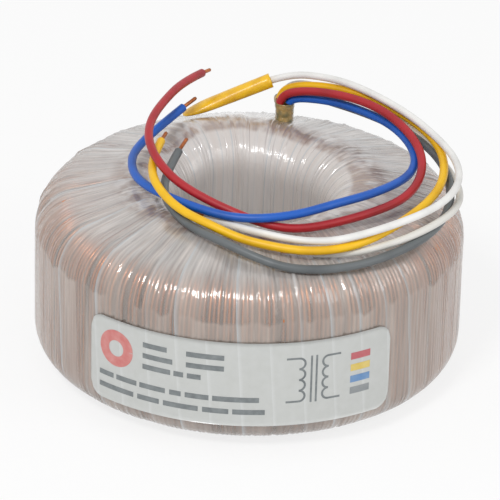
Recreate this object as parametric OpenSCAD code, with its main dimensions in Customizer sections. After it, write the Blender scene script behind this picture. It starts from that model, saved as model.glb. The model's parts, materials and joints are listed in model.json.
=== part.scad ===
// Toroidal mains transformer, wound on a ring core and wrapped in clear film, with its
// flying leads laid in loops over the top. Millimetres. The origin is on the axis of the
// bore, at the height of the surface that the transformer stands on, and +Z is up.

/* [Wrapped coil] */
// Diameter over the film
overall_d = 110; // [104:1:120]
// Clear diameter of the bore
bore_d = 38; // [34:1:42]
// Height at the shoulder
shoulder_h = 46.5; // [42:0.5:52]
// Height of the crest, where the turns pile up round the bore
overall_h = 49.5; // [46:0.5:56]
// Radius of the shoulder
shoulder_r = 12; // [10:0.5:14]
// Radius of the foot
foot_r = 8; // [7:0.5:10]
// Height of the foot above the ring that the coil stands on
foot_lift = 1.5; // [0.5:0.25:3]
// Radius at the crest, down into the bore
crest_r = 11; // [10:0.5:12]
// Radius at the underside, up into the bore
heel_r = 9; // [8.5:0.5:10.5]
// Outer radius of the flat ring on the underside
foot_ring_r = 36; // [32:0.5:40]
// Thickness of the wrapped film
film_t = 0.4; // [0.2:0.05:0.6]

/* [Pad under the lead-outs] */
// Height of the folded pad above the crest
pad_h = 2.4; // [1.2:0.3:3]
// Folds in the pad
pad_folds = 3; // [2:1:4]
// Direction of the end that the collar stands on, from +X
pad_start = 71; // [60:1:74]
// Angle that the lowest fold covers
pad_sweep = 60; // [50:1:70]
// Angle that each fold ends short of the one below, at the collar
pad_step = 13; // [12:1:18]
// Angle that each fold ends short of the one below, at the far end
pad_far_step = 5; // [2:1:8]

/* [Windings] */
// Diameter of the secondary wire
wire_d = 0.9; // [0.7:0.05:1]
// Least space between neighbouring turns in the bore
turn_gap = 0.04; // [0.03:0.01:0.3]
// Depth of the primary on the outer wall
primary_wall_t = 1.3; // [0.8:0.1:1.8]
// Depth of the primary in the bore
primary_bore_t = 2.6; // [1.8:0.1:3]
// Depth of the insulating tape
tape_t = 0.4; // [0.2:0.05:0.6]
// Space between one layer and the next
layer_gap = 0.05; // [0.03:0.01:0.1]

/* [Core] */
// Wall of the moulded end caps
cap_t = 1.2; // [0.8:0.1:1.6]
// Least wall of an end cap at its rounded rim
cap_rim_t = 0.5; // [0.3:0.1:1]
// Slit between the two end caps
cap_slit = 3; // [1:0.5:6]

/* [Rating label] */
// Height of the label
label_h = 23; // [15:0.5:24]
// Radius of its corners
label_corner_r = 4; // [2:0.5:6]
// Height of its lower edge
label_z = 8; // [7.5:0.5:12]
// Angle that it covers left of the front
label_left = 44; // [20:1:60]
// Angle that it covers right of the front
label_right = 40; // [20:1:60]
// Thickness of the label
label_t = 0.2; // [0.1:0.05:0.4]

/* [Leads] */
// Diameter of the coloured sleeving
sleeve_d = 2.2; // [1.8:0.1:2.4]
// Diameter of the white primary leads
white_d = 1.9; // [1.6:0.1:2.2]
// Diameter of the bare solid ends
bare_d = 1; // [0.7:0.05:1.2]
// Diameter of one strand of a primary lead
strand_d = 0.35; // [0.2:0.05:0.5]
// Bare length of the white leads' strands
strand_l = 8; // [4:0.5:12]
// Diameter of the shrunk sleeve at its mouth
splice_d = 3.9; // [3:0.1:5]
// Width of the shrunk sleeve where it is pressed flat
splice_w = 5; // [4:0.1:6]
// Width of the taped collar round the lead-outs, along X
collar_w = 5.6; // [5:0.1:7]
// Length of the collar, along Y
collar_l = 8.4; // [8:0.1:10]
// Height of the collar's top
collar_top = 54; // [53:0.5:56]

/* [Hidden] */
$fn = 96;

film_tint = [0.85, 0.85, 0.84, 0.35];
ro = overall_d / 2;
ri = bore_d / 2;

// Corners of the coil's section, anticlockwise: distance from the axis, height, radius,
// whether the layers pile up there (1) or not (0), and the facets of a hidden layer
heel = [ri + heel_r, heel_r, heel_r, 1, 2];
foot_ring = [foot_ring_r, heel_r, heel_r, 1, 2];
foot = [ro - foot_r, foot_lift + foot_r, foot_r, 0, 2];
shoulder = [ro - shoulder_r, shoulder_h - shoulder_r, shoulder_r, 0, 3];
crest = [ri + crest_r, overall_h - crest_r, crest_r, 1, 2];

// Depths below the film's surface at which each layer starts
turns_in = film_t + 2 * layer_gap;
tape_in = turns_in + wire_d + layer_gap;
primary_in = tape_in + tape_t + layer_gap;
caps_bore_in = primary_in + primary_bore_t + layer_gap;
caps_wall_in = primary_in + primary_wall_t + layer_gap;
// The lower winding of the pair lies this much deeper than the upper one
level_step = wire_d + 2 * layer_gap;
// Turns in each secondary: as many as stand side by side in the bore
turns = floor(360 * (ri + turns_in) * PI / 180 / (wire_d + turn_gap));
turn_pitch = 180 / turns;

// Middle of the collar, and the ends of the shrunk sleeve
collar_place = [8.3, 37.4];
splice_root = [-16, 34, 50.8];
splice_mouth = [4.5, 38, 59];
// Bare length of each solid end
red_bare_l = 4;
yellow_bare_l = 4.5;
blue_bare_l = 5;
grey_bare_l = 5.5;
// Rings of a tube for each point of its route
ring_density = 1.2;

// Routes of the leads, from the collar or the shrunk sleeve to the end of the insulation
white1_route = [
  [4.5, 38, 59], [10, 37, 61.5], [16.5, 34, 62.5], [24, 29.5, 63], [31.5, 23, 62.5],
  [39.5, 16, 61], [45.5, 8, 59.5], [50.5, -0.5, 58], [52.5, -9, 57], [51.5, -17, 56],
  [47.5, -24, 55], [41.5, -30, 54.5], [34, -34.5, 53.5], [26.5, -38, 52.5], [19.5, -39.5, 51.5],
  [12.5, -38.5, 51], [5, -36, 51], [-3, -32, 51], [-11, -26.5, 51]
];
white2_route = [
  [8, 40, 54], [8.5, 40.5, 56], [11.5, 40, 58], [18, 36.5, 58], [26.5, 31, 57.5],
  [35, 24.5, 57.5], [43.5, 15, 55.5], [48.5, 5.5, 52.5], [52, -3.5, 51.5], [53, -12.5, 51],
  [50.5, -20.5, 51], [46, -26.5, 50.5], [39.5, -32, 49.5], [32, -36, 48.5], [24.5, -38.5, 47.5],
  [16, -39, 48]
];
red_route = [
  [7, 35, 54], [7.5, 35, 56], [10, 33.5, 58], [15, 31, 59.5], [21, 27.5, 60.5],
  [27.5, 23, 61], [34, 17.5, 60.5], [39, 11, 59], [42.5, 4.5, 57], [43.5, -2.5, 55],
  [42, -9.5, 53], [38, -15.5, 51.5], [31.5, -21, 51], [24.5, -26, 51], [17, -29.5, 50.5],
  [10, -31.5, 50.5], [3, -30.5, 51.5], [-4.5, -27.5, 53], [-11.5, -23.5, 54.5], [-18, -18.5, 56],
  [-22.5, -13, 58], [-25.5, -6, 59.5], [-26.5, 1.5, 61], [-25, 9.5, 62], [-22, 18, 62.5],
  [-18.5, 27.5, 62.5], [-13.5, 37, 61]
];
yellow_route = [
  [7, 37.5, 54], [7.5, 38, 56], [10, 37, 58], [15, 34.5, 59.5], [22, 31, 60.5],
  [29.5, 26.5, 60.5], [37, 20.5, 59.5], [43, 13.5, 58.5], [47.5, 6, 57], [49, -2.5, 55.5],
  [48, -11, 54], [44.5, -19, 53], [39, -26.5, 52], [33, -33, 51], [26.5, -38, 50],
  [19.5, -40.5, 49.5], [12, -41, 49.5], [4.5, -39.5, 50], [-3, -37, 50.5], [-10.5, -33, 52.5],
  [-16.5, -28.5, 53], [-21, -23.5, 54.5], [-24, -18, 56], [-25, -11.5, 56.5], [-24.5, -4.5, 57],
  [-23, 2.5, 57.5]
];
blue_route = [
  [9.5, 35, 54], [10, 35, 55.5], [14.5, 33, 56.5], [21.5, 29, 57.5], [29, 23.5, 57.5],
  [36, 17, 57], [40.5, 9.5, 55.5], [42, 2, 54], [40, -5.5, 53.5], [35.5, -12.5, 54],
  [29, -19.5, 54.5], [21, -25.5, 55], [12.5, -30, 54], [3.5, -32, 53.5], [-4.5, -31, 53],
  [-12.5, -27.5, 53.5], [-19.5, -22, 53.5], [-25.5, -15.5, 53], [-29.5, -8.5, 53], [-30.5, -1, 53.5],
  [-29.5, 6.5, 53.5], [-25, 15, 54.5], [-18, 24, 57]
];
grey_route = [
  [9.5, 37.5, 54], [10, 38, 55], [13, 37, 56], [19, 33, 56], [26.5, 28, 56],
  [34, 21.5, 56], [41.5, 14, 55.5], [47, 5.5, 54.5], [50, -3.5, 53], [50.5, -13, 50.5],
  [48, -22, 49], [43, -30, 48], [35.5, -36.5, 47], [27, -42, 46.5], [18.5, -45, 46.5],
  [10, -46, 47], [2.5, -44, 48.5], [-4, -40.5, 50], [-10.5, -35.5, 50.5], [-15.5, -30, 50.5],
  [-19.5, -23, 51], [-22, -15, 51.5], [-21.5, -7, 53], [-18.5, 2, 55]
];

// Direction of the outward normal of the line that touches two corners
function normal_angle(a, b) =
  let (d = [b[0] - a[0], b[1] - a[1]])
  atan2(d[1], d[0]) - acos((a[2] - b[2]) / norm(d));
function on_corner(c, angle) = [c[0] + c[2] * cos(angle), c[1] + c[2] * sin(angle)];
function after(a, b) = b < a ? b + 360 : b;

// A corner at a given depth; the wall side keeps its distance from the wall
function deeper(c, bore_in, wall_in, level) =
  c[3] == 1 ? [c[0], c[1], c[2] - bore_in - level, c[3], c[4]]
            : [c[0] + level, c[1], c[2] - wall_in - level, c[3], c[4]];

// Outline of a hidden layer, its corners in a few facets
function layer_outline(bore_in, wall_in, level) =
  let (c = [for (k = [heel, foot, shoulder, crest]) deeper(k, bore_in, wall_in, level)],
       n = len(c))
  [for (i = [0:n-1])
    let (k = c[i], start = normal_angle(c[(i + n - 1) % n], k),
         stop = after(start, normal_angle(k, c[(i + 1) % n])))
    each [for (s = [0:k[4]]) on_corner(k, start + (stop - start) * s / k[4])]];

// Section of the film at a given depth, with true arcs; lift raises its crest
module film_section(depth, lift = 0) {
  top = [crest[0], crest[1] + lift, crest[2], 1, 2];
  c = [for (k = [heel, foot_ring, foot, shoulder, top]) deeper(k, depth, depth, 0)];
  n = len(c);
  union() {
    polygon([for (i = [0:n-1])
      let (before = c[(i + n - 1) % n], k = c[i], next = c[(i + 1) % n])
      each [on_corner(k, normal_angle(before, k)), on_corner(k, normal_angle(k, next))]]);
    for (k = c) translate([k[0], k[1]]) circle(r = k[2]);
  }
}

// Ring between two hidden layers
module layer_ring(outer, inner) {
  rotate_extrude() difference() {
    polygon(outer);
    polygon(inner);
  }
}

// ---- Core ----
cap_outline = layer_outline(caps_bore_in, caps_wall_in, level_step);
inner_shoulder = deeper(shoulder, caps_bore_in, caps_wall_in, level_step);
core_r = inner_shoulder[0] + inner_shoulder[2] - 1.2 * cap_t - 1.3 * cap_rim_t - 0.6;
core_ri = crest[0] - (crest[2] - caps_bore_in - level_step) + cap_t;
core_bottom = heel[1] - (heel[2] - caps_bore_in - level_step) + cap_t;
core_top = inner_shoulder[1] + sqrt(2) * (inner_shoulder[2] * cos(15) - cap_rim_t)
  - (core_r - inner_shoulder[0]);
cap_split = (core_bottom + core_top) / 2;

module strip_core() {
  color("dimgray") rotate_extrude() translate([core_ri + layer_gap, core_bottom + layer_gap])
    square([core_r - core_ri - 2 * layer_gap, core_top - core_bottom - 2 * layer_gap]);
}
module core_cap(bottom, top) {
  rotate_extrude() intersection() {
    difference() {
      polygon(cap_outline);
      translate([core_ri, core_bottom]) square([core_r - core_ri, core_top - core_bottom]);
    }
    translate([0, bottom]) square([ro, top - bottom]);
  }
}
module core_cap_top() {
  color("ivory") core_cap(cap_split + cap_slit / 2, overall_h);
}
module core_cap_bottom() {
  color("ivory") core_cap(0, cap_split - cap_slit / 2);
}

// ---- Windings ----
module primary_winding() {
  color("peru") layer_ring(layer_outline(primary_in, primary_in, level_step),
    layer_outline(primary_in + primary_bore_t, primary_in + primary_wall_t, level_step));
}
module interwinding_tape() {
  color("gold") layer_ring(layer_outline(tape_in, tape_in, level_step),
    layer_outline(tape_in + tape_t, tape_in + tape_t, level_step));
}
module turn(level) {
  outside = layer_outline(turns_in, turns_in, level);
  inside = layer_outline(turns_in + wire_d, turns_in + wire_d, level);
  n = len(outside);
  rotate([90, 0, 0]) linear_extrude(height = wire_d, center = true)
    polygon(concat(outside, inside), [[for (i = [0:n-1]) i], [for (i = [0:n-1]) n + i]]);
}
// The two windings are laid side by side as a pair, every other turn in the bore deeper
module secondary_winding(first, level) {
  for (i = [0:turns-1]) rotate([0, 0, (2 * i + first) * turn_pitch]) turn(level);
}
module secondary_winding_a() {
  color("chocolate") secondary_winding(0, level_step);
}
module secondary_winding_b() {
  color("sandybrown") secondary_winding(1, 0);
}

// ---- Film and what lies on and under it ----
module outer_wrap() {
  color(film_tint) rotate_extrude() difference() {
    film_section(0);
    film_section(film_t);
  }
}
// Folded insulating tape on the crest, each fold shorter than the one below
module lead_pad() {
  color("burlywood") for (fold = [1:pad_folds])
    rotate([0, 0, pad_start + (fold - 1) * pad_step])
      rotate_extrude(angle = pad_sweep - (fold - 1) * (pad_step + pad_far_step))
        difference() {
          film_section(0, lift = fold * pad_h / pad_folds);
          film_section(-layer_gap, lift = (fold - 1) * pad_h / pad_folds);
        }
}
// A rounded rectangle of the label's size, bent round the wall
module rating_label() {
  left = -ro * sin(label_left);
  right = ro * sin(label_right);
  color("lightgray") intersection() {
    rotate_extrude($fn = 180) translate([ro + layer_gap, 0]) square([label_t, shoulder_h]);
    rotate([90, 0, 0]) linear_extrude(height = overall_d) translate([left, label_z]) {
      translate([label_corner_r, 0]) square([right - left - 2 * label_corner_r, label_h]);
      translate([0, label_corner_r]) square([right - left, label_h - 2 * label_corner_r]);
      for (x = [label_corner_r, right - left - label_corner_r],
           z = [label_corner_r, label_h - label_corner_r])
        translate([x, z]) circle(r = label_corner_r);
    }
  }
}
module collar_outline() {
  r = collar_w / 2;
  translate([0, -(collar_l - collar_w) / 2]) circle(r = r);
  translate([0, (collar_l - collar_w) / 2]) circle(r = r);
  square([collar_w, collar_l - collar_w], center = true);
}
module lead_collar() {
  color("darkkhaki") difference() {
    translate([collar_place[0], collar_place[1], shoulder_h - 1])
      linear_extrude(height = collar_top - shoulder_h + 1) collar_outline();
    rotate_extrude() film_section(-layer_gap, lift = pad_h / pad_folds);
  }
}
// Flattened at its root, where it comes out from under the film, and round at its mouth
module splice_sleeve() {
  along = splice_mouth - splice_root;
  color("gold") hull() {
    translate(splice_root) rotate([0, 0, 6]) scale([1, 0.5, 0.36]) sphere(d = splice_w, $fn = 24);
    translate(splice_root + 0.35 * along) rotate([0, 0, 6]) scale([1, 0.95, 0.62])
      sphere(d = splice_w, $fn = 24);
    translate(splice_mouth) facing(along) translate([0, 0, -1])
      cylinder(h = 1, d = splice_d, $fn = 24);
  }
}

// ---- Leads ----
// Turns +Z onto a direction
module facing(d) {
  rotate([0, acos(d[2] / norm(d)), atan2(d[1], d[0])]) children();
}
// Clamped cubic spline on a route's points: knot, weight of a point, place on the route
function knot(i, n) = max(0, min(i - 3, n - 3));
function ratio(a, b) = b == 0 ? 0 : a / b;
function weight(i, k, u, n) = k == 0
  ? (knot(i, n) <= u && u < knot(i + 1, n) ? 1 : 0)
  : ratio(u - knot(i, n), knot(i + k, n) - knot(i, n)) * weight(i, k - 1, u, n)
    + ratio(knot(i + k + 1, n) - u, knot(i + k + 1, n) - knot(i + 1, n))
      * weight(i + 1, k - 1, u, n);
function total(v, i = 0) = i == len(v) - 1 ? v[i] : v[i] + total(v, i + 1);
function place(route, t) =
  let (n = len(route), u = t * (n - 3), first = min(floor(u), n - 4))
  t >= 1 ? route[n - 1]
         : total([for (i = [first:first + 3]) route[i] * weight(i, 3, u, n)]);
function unit(v) = v / norm(v);
function square_to(v, t) = unit(v - (v * t) * t);
function heading(path, i) =
  i == 0 ? unit(path[1] - path[0])
  : i == len(path) - 1 ? unit(path[i] - path[i - 1])
  : unit(path[i + 1] - path[i - 1]);

// Tube along a route, its rings turned as little as they can be from one to the next
module tube(route, d) {
  sides = 8;
  rings = round(ring_density * len(route));
  path = [for (i = [0:rings - 1]) place(route, i / (rings - 1))];
  across = [for (i = 0, v = square_to([1, 0.3, 0], heading(path, 0)); i < rings;
      i = i + 1, v = i < rings ? square_to(v, heading(path, i)) : v) v];
  points = [for (i = [0:rings - 1], s = [0:sides - 1])
    let (a = 360 * s / sides, v = across[i], w = cross(heading(path, i), v))
    path[i] + d / 2 * (cos(a) * v + sin(a) * w)];
  polyhedron(points, concat(
    [[for (s = [0:sides - 1]) sides - 1 - s]],
    [[for (s = [0:sides - 1]) (rings - 1) * sides + s]],
    [for (i = [0:rings - 2], s = [0:sides - 1])
      [i * sides + s, i * sides + (s + 1) % sides,
       (i + 1) * sides + (s + 1) % sides, (i + 1) * sides + s]]));
}
// Places something at the end of a route, +Z pointing out of it
module at_end(route) {
  rings = round(ring_density * len(route));
  translate(route[len(route) - 1])
    facing(route[len(route) - 1] - place(route, (rings - 2) / (rings - 1))) children();
}
module bare_wire(route, l) {
  color("sienna") at_end(route) cylinder(h = l, d = bare_d, $fn = 24);
}
module strands(route) {
  color("sienna") at_end(route)
    for (a = [45:90:315]) rotate([0, 0, a]) translate([0.75 * strand_d, 0, 0])
      cylinder(h = strand_l, d = strand_d, $fn = 16);
}
module white_lead_1() { color("white") tube(white1_route, white_d); }
module white_lead_2() { color("white") tube(white2_route, white_d); }
module red_lead() { color("firebrick") tube(red_route, sleeve_d); }
module yellow_lead() { color("gold") tube(yellow_route, sleeve_d); }
module blue_lead() { color("royalblue") tube(blue_route, sleeve_d); }
module grey_lead() { color("gray") tube(grey_route, sleeve_d); }

strip_core();
core_cap_top();
core_cap_bottom();
primary_winding();
interwinding_tape();
secondary_winding_a();
secondary_winding_b();
lead_pad();
outer_wrap();
rating_label();
lead_collar();
splice_sleeve();
white_lead_1();
white_lead_2();
red_lead();
yellow_lead();
blue_lead();
grey_lead();
strands(white1_route);  // white_strands_1
strands(white2_route);  // white_strands_2
bare_wire(red_route, red_bare_l);  // red_wire_end
bare_wire(yellow_route, yellow_bare_l);  // yellow_wire_end
bare_wire(blue_route, blue_bare_l);  // blue_wire_end
bare_wire(grey_route, grey_bare_l);  // grey_wire_end
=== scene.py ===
"""Studio scene of a toroidal mains transformer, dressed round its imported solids.

The copper turns, the clear film wrapped over them, the rating label, the taped collar and
the flying leads are built here as detailed meshes and curves. Lengths are in metres unless
a name ends in _mm or _deg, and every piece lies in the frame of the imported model: the
origin on the axis of the bore, at the height of the floor, with +Z up.
"""

import json
import logging
import math
from dataclasses import dataclass, field
from enum import Enum

import bpy
import numpy as np
from mathutils import Matrix, Vector

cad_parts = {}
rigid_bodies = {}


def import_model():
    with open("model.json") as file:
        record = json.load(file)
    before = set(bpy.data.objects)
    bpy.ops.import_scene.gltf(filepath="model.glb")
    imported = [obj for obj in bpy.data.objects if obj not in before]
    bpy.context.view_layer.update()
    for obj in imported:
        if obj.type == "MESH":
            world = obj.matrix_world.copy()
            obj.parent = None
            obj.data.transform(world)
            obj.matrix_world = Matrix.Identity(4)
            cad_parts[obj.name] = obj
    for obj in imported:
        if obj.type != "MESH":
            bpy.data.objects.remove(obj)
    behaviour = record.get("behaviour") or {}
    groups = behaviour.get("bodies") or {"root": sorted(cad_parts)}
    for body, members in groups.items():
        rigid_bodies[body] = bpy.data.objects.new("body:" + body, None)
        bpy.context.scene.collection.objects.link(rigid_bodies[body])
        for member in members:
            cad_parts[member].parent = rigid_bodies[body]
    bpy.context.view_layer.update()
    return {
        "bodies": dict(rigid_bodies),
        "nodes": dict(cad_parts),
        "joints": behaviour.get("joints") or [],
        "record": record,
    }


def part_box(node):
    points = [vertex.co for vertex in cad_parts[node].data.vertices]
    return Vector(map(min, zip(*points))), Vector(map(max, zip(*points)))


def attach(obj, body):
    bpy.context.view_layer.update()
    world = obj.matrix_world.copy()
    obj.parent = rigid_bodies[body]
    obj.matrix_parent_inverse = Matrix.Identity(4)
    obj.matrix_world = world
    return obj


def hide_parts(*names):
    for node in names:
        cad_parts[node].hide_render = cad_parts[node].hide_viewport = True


MM = 0.001
LOG = logging.getLogger("transformer")


# ---------------------------------------------------------------- colour and shader helpers

def linear(code: str) -> tuple[float, float, float, float]:
    """Turns an sRGB hex value into the linear colour that shaders take.

    Args:
        code: six hex digits, with or without a leading hash.

    Returns:
        Red, green and blue in linear light, and an alpha of 1.
    """
    digits = code.lstrip("#")
    channels = [int(digits[i:i + 2], 16) / 255 for i in (0, 2, 4)]
    lin = [c / 12.92 if c <= 0.04045 else ((c + 0.055) / 1.055) ** 2.4 for c in channels]
    return (lin[0], lin[1], lin[2], 1.0)


def feed(tree: bpy.types.NodeTree, node: bpy.types.Node, inputs: dict) -> None:
    """Gives a node's sockets their values and links.

    Args:
        tree: the node tree.
        node: the node that takes them.
        inputs: what each socket takes, by its name or number: a value, an output socket,
            or a node whose first output is linked.
    """
    for key, value in inputs.items():
        if isinstance(value, bpy.types.Node):
            value = value.outputs[0]
        if isinstance(value, bpy.types.NodeSocket):
            tree.links.new(value, node.inputs[key])
        else:
            node.inputs[key].default_value = value


def add_node(tree: bpy.types.NodeTree, kind: str, settings: dict | None = None,
             inputs: dict | None = None) -> bpy.types.Node:
    """Adds one shader node with its settings and links.

    Args:
        tree: the node tree that takes the node.
        kind: the node's type, without the leading ShaderNode.
        settings: the node's own properties by name.
        inputs: what each socket takes, as feed takes it.

    Returns:
        The new node.
    """
    made = tree.nodes.new("ShaderNode" + kind)
    for key, value in (settings or {}).items():
        setattr(made, key, value)
    feed(tree, made, inputs or {})
    return made


class MixSocket(Enum):
    """Numbers of the Mix node's sockets when it mixes colours."""

    FACTOR = 0
    FIRST = 6
    SECOND = 7
    RESULT = 2


@dataclass(frozen=True)
class Finish:
    """What a surface is made of and how it was made."""

    name: str

    def make(self) -> bpy.types.Material:
        """Makes the material and has the subclass wire its Principled shader."""
        material = bpy.data.materials.new(self.name)
        material.use_nodes = True
        tree = material.node_tree
        self.shade(tree, tree.nodes["Principled BSDF"])
        return material

    def shade(self, tree: bpy.types.NodeTree, shader: bpy.types.Node) -> None:
        """Sets the shader's sockets; each finish has its own way."""
        raise NotImplementedError

    @staticmethod
    def blend(tree: bpy.types.NodeTree, factor: object, first: object,
              second: object) -> bpy.types.NodeSocket:
        """Mixes two colours.

        Args:
            tree: the node tree.
            factor: the share of the second colour, a value or a socket.
            first: a linear colour or a socket.
            second: a linear colour or a socket.

        Returns:
            The socket with the mixed colour.
        """
        mix = add_node(tree, "Mix", {"data_type": "RGBA"}, {
            MixSocket.FACTOR.value: factor,
            MixSocket.FIRST.value: first,
            MixSocket.SECOND.value: second,
        })
        return mix.outputs[MixSocket.RESULT.value]


# ---------------------------------------------------------------- finishes of small pieces

@dataclass(frozen=True)
class ExtrudedPVC(Finish):
    """Flexible PVC sleeving, extruded: an even satin colour with faint drag lines."""

    colour: str = "#808080"
    shade_colour: str = "#606060"
    roughness: float = 0.42
    drag_mm: float = 0.45
    handling_mm: float = 9.0

    def shade(self, tree: bpy.types.NodeTree, shader: bpy.types.Node) -> None:
        """A satin colour that darkens a little where hands have dulled it."""
        place = add_node(tree, "TexCoord").outputs["Object"]
        handling = add_node(tree, "TexNoise", inputs={
            "Vector": place, "Scale": 1 / (self.handling_mm * MM), "Detail": 3.0})
        drag = add_node(tree, "TexNoise", inputs={
            "Vector": place, "Scale": 1 / (self.drag_mm * MM), "Detail": 2.0})
        dulled = add_node(tree, "MapRange", inputs={
            "Value": handling, "From Min": 0.45, "From Max": 0.8})
        colour = self.blend(tree, dulled, linear(self.colour), linear(self.shade_colour))
        gloss = add_node(tree, "MapRange", inputs={
            "Value": handling, "To Min": self.roughness - 0.07,
            "To Max": self.roughness + 0.1})
        bump = add_node(tree, "Bump", inputs={
            "Height": drag, "Strength": 0.35, "Distance": 0.03 * MM})
        feed(tree, shader, {
            "Base Color": colour, "Roughness": gloss, "Normal": bump, "IOR": 1.53})


@dataclass(frozen=True)
class DrawnCopper(Finish):
    """Drawn copper wire: bright metal, browner where it has tarnished or been heated."""

    bright: str = "#C4784A"
    tarnished: str = "#7A452C"
    roughness: float = 0.3
    patch_mm: float = 2.0

    def shade(self, tree: bpy.types.NodeTree, shader: bpy.types.Node) -> None:
        """Metal whose tarnish comes in patches, with fine scratches."""
        place = add_node(tree, "TexCoord").outputs["Object"]
        patches = add_node(tree, "TexNoise", inputs={
            "Vector": place, "Scale": 1 / (self.patch_mm * MM), "Detail": 4.0})
        scratches = add_node(tree, "TexNoise", inputs={
            "Vector": place, "Scale": 6 / (self.patch_mm * MM), "Detail": 2.0})
        share = add_node(tree, "MapRange", inputs={
            "Value": patches, "From Min": 0.35, "From Max": 0.7})
        colour = self.blend(tree, share, linear(self.bright), linear(self.tarnished))
        dull = add_node(tree, "MapRange", inputs={
            "Value": patches, "To Min": self.roughness - 0.1, "To Max": self.roughness + 0.2})
        bump = add_node(tree, "Bump", inputs={
            "Height": scratches, "Strength": 0.3, "Distance": 0.02 * MM})
        feed(tree, shader, {
            "Base Color": colour, "Roughness": dull, "Normal": bump, "Metallic": 1.0})


@dataclass(frozen=True)
class EnamelledCopper(Finish):
    """Winding wire: copper under clear polyester enamel, each turn a little different."""

    bright: str = "#DC8C48"
    deep: str = "#A85A24"
    spread: float = 70.0

    def shade(self, tree: bpy.types.NodeTree, shader: bpy.types.Node) -> None:
        """Copper that changes from turn to turn round the ring, and little along one."""
        place = add_node(tree, "TexCoord").outputs["Object"]
        flat = add_node(tree, "VectorMath", {"operation": "MULTIPLY"},
                        {0: place, 1: (1.0, 1.0, 0.0)})
        heading = add_node(tree, "VectorMath", {"operation": "NORMALIZE"}, {0: flat})
        turns = add_node(tree, "TexNoise", inputs={
            "Vector": heading, "Scale": self.spread, "Detail": 2.0})
        share = add_node(tree, "MapRange", inputs={
            "Value": turns, "From Min": 0.32, "From Max": 0.68})
        colour = self.blend(tree, share, linear(self.bright), linear(self.deep))
        feed(tree, shader, {
            "Base Color": colour, "Metallic": 1.0, "Roughness": 0.32, "Coat Weight": 0.6,
            "Coat Roughness": 0.12})


@dataclass(frozen=True)
class MottledSolid(Finish):
    """A matt or satin solid with soft mottling, for tapes, card, steel and mouldings."""

    light: str = "#909090"
    dark: str = "#606060"
    roughness: float = 0.55
    metallic: float = 0.0
    grain_mm: float = 1.5
    relief_mm: float = 0.05
    stretch: tuple[float, float, float] = (1.0, 1.0, 1.0)
    ior: float = 1.5

    def shade(self, tree: bpy.types.NodeTree, shader: bpy.types.Node) -> None:
        """Two colours mixed by a grain that can run along one direction."""
        place = add_node(tree, "TexCoord").outputs["Object"]
        along = add_node(tree, "VectorMath", {"operation": "MULTIPLY"},
                         {0: place, 1: self.stretch})
        grain = add_node(tree, "TexNoise", inputs={
            "Vector": along, "Scale": 1 / (self.grain_mm * MM), "Detail": 5.0})
        share = add_node(tree, "MapRange", inputs={
            "Value": grain, "From Min": 0.3, "From Max": 0.7})
        colour = self.blend(tree, share, linear(self.light), linear(self.dark))
        bump = add_node(tree, "Bump", inputs={
            "Height": grain, "Strength": 0.5, "Distance": self.relief_mm * MM})
        feed(tree, shader, {
            "Base Color": colour, "Normal": bump, "Roughness": self.roughness,
            "Metallic": self.metallic})
        if self.metallic == 0:
            feed(tree, shader, {"IOR": self.ior})


@dataclass(frozen=True)
class HeatShrink(Finish):
    """Shrunk polyolefin sleeve: deep glossy yellow, with soft ripples where it gripped."""

    colour: str = "#F2BE08"
    shade_colour: str = "#D09A00"
    ripple_mm: float = 3.5

    def shade(self, tree: bpy.types.NodeTree, shader: bpy.types.Node) -> None:
        """A glossy colour with a soft ripple."""
        place = add_node(tree, "TexCoord").outputs["Object"]
        ripple = add_node(tree, "TexNoise", inputs={
            "Vector": place, "Scale": 1 / (self.ripple_mm * MM), "Detail": 3.0})
        share = add_node(tree, "MapRange", inputs={
            "Value": ripple, "From Min": 0.4, "From Max": 0.75})
        colour = self.blend(tree, share, linear(self.colour), linear(self.shade_colour))
        bump = add_node(tree, "Bump", inputs={
            "Height": ripple, "Strength": 0.5, "Distance": 0.25 * MM})
        feed(tree, shader, {
            "Base Color": colour, "Normal": bump, "Roughness": 0.36, "IOR": 1.5,
            "Coat Weight": 0.35, "Coat Roughness": 0.15})


@dataclass(frozen=True)
class VarnishedTape(Finish):
    """Glass-cloth tape soaked in varnish: amber to olive, glossy where it has pooled."""

    amber: str = "#B49458"
    olive: str = "#6E6A48"
    thread_mm: float = 0.5
    pool_mm: float = 2.2

    def shade(self, tree: bpy.types.NodeTree, shader: bpy.types.Node) -> None:
        """Varnish over cloth, its threads drawn at their real spacing."""
        place = add_node(tree, "TexCoord").outputs["Object"]
        pools = add_node(tree, "TexNoise", inputs={
            "Vector": place, "Scale": 1 / (self.pool_mm * MM), "Detail": 4.0})
        threads = add_node(tree, "TexVoronoi", inputs={
            "Vector": place, "Scale": 1 / (self.thread_mm * MM)})
        share = add_node(tree, "MapRange", inputs={
            "Value": pools, "From Min": 0.38, "From Max": 0.62})
        colour = self.blend(tree, share, linear(self.amber), linear(self.olive))
        bump = add_node(tree, "Bump", inputs={
            "Height": threads.outputs["Distance"], "Strength": 0.6, "Distance": 0.1 * MM})
        feed(tree, shader, {
            "Base Color": colour, "Normal": bump, "Roughness": 0.3, "IOR": 1.52,
            "Coat Weight": 0.5, "Coat Roughness": 0.1})


# ---------------------------------------------------------------- finishes of film and label

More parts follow.
